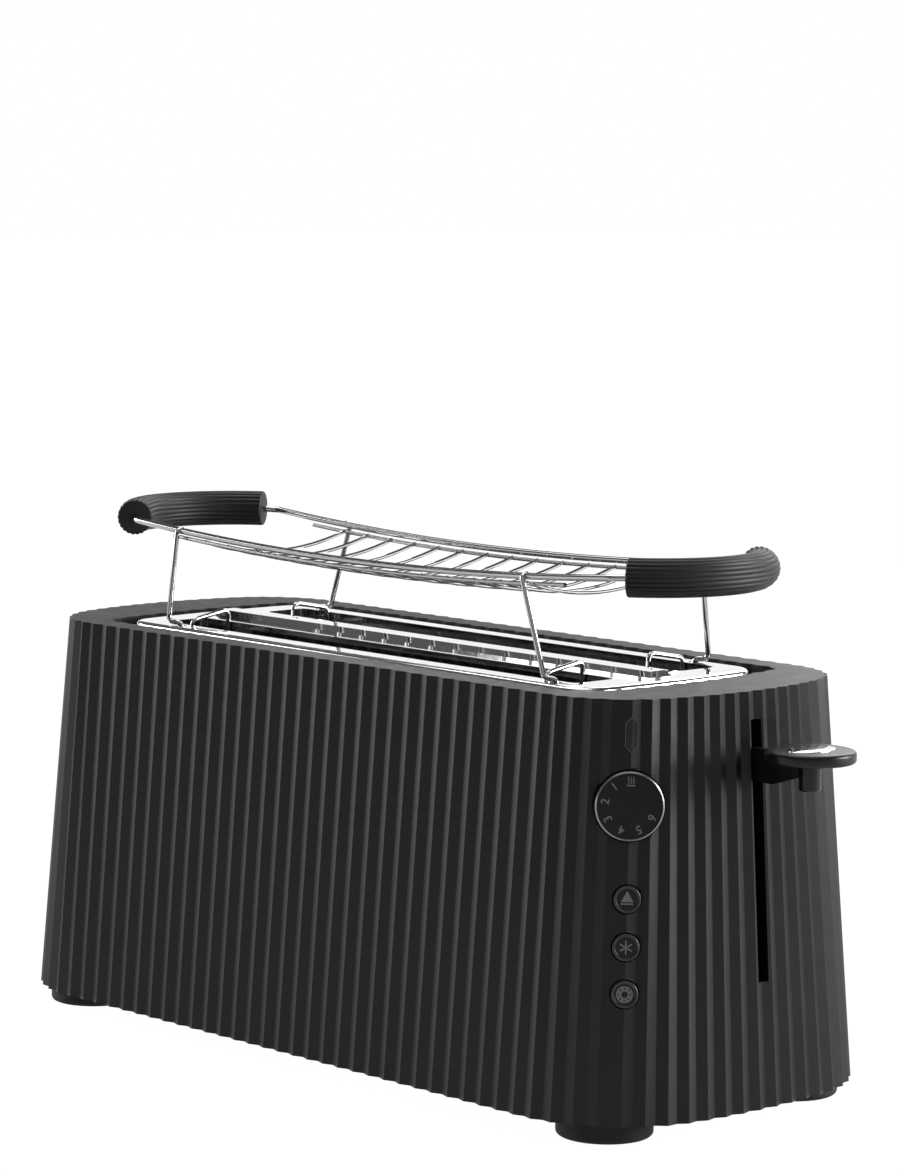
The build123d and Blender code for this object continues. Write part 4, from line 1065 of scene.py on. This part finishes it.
    def add_camera(self):
        """Camera at the photograph's place and angle."""
        stage = scene_values()[2]
        ahead = Vector((-sin(stage.turn) * cos(stage.pitch), cos(stage.turn) * cos(stage.pitch),
                        -sin(stage.pitch)))
        level = Vector((cos(stage.turn), sin(stage.turn), 0))
        upright = level.cross(ahead)
        right = level * cos(stage.roll) + upright * sin(stage.roll)
        up = upright * cos(stage.roll) - level * sin(stage.roll)
        camera = bpy.data.cameras.new("camera")
        camera.lens = stage.lens
        camera.sensor_width = 36.0
        holder = bpy.data.objects.new("camera", camera)
        turn = Matrix((right, up, -ahead)).transposed().to_4x4()
        holder.matrix_world = Matrix.Translation(stage.camera_place) @ turn
        bpy.context.scene.collection.objects.link(holder)
        bpy.context.scene.camera = holder


class TOASTER_PT_panel(bpy.types.Panel):
    """Panel with the toaster's values and steps"""

    bl_idname = "TOASTER_PT_panel"
    bl_label = "Long-slot toaster"
    bl_space_type = "VIEW_3D"
    bl_region_type = "UI"
    bl_category = "Toaster"

    def draw(self, context):
        layout = self.layout
        for group in scene_values():
            column = layout.column()
            for name in group.__annotations__:
                column.prop(group, name)
        for step in STEPS:
            layout.operator(step.bl_idname)


GROUPS = {
    "toaster_colours": ToasterColours,
    "toaster_sizes": ToasterSizes,
    "toaster_stage": ToasterStage,
}
STEPS = (
    TOASTER_OT_finishes,
    TOASTER_OT_casing,
    TOASTER_OT_bun_warmer,
    TOASTER_OT_grips,
    TOASTER_OT_slot_hoops,
    TOASTER_OT_dial,
    TOASTER_OT_buttons,
    TOASTER_OT_lens,
    TOASTER_OT_lever,
    TOASTER_OT_stage,
)


def register():
    """Registers the value groups, the steps and the panel."""
    for name, group in GROUPS.items():
        bpy.utils.register_class(group)
        setattr(bpy.types.Scene, name, PointerProperty(type=group))
    for step in (*STEPS, TOASTER_PT_panel):
        bpy.utils.register_class(step)


def unregister():
    """Removes what register added."""
    for step in reversed((*STEPS, TOASTER_PT_panel)):
        bpy.utils.unregister_class(step)
    for name, group in GROUPS.items():
        delattr(bpy.types.Scene, name)
        bpy.utils.unregister_class(group)


def main():
    """Makes every piece in order."""
    register()
    bpy.ops.toaster.finishes()
    bpy.ops.toaster.casing()
    bpy.ops.toaster.bun_warmer()
    bpy.ops.toaster.grips()
    bpy.ops.toaster.slot_hoops()
    bpy.ops.toaster.dial()
    bpy.ops.toaster.buttons()
    bpy.ops.toaster.lens()
    bpy.ops.toaster.lever()
    bpy.ops.toaster.stage()


if __name__ == "__main__":
    main()
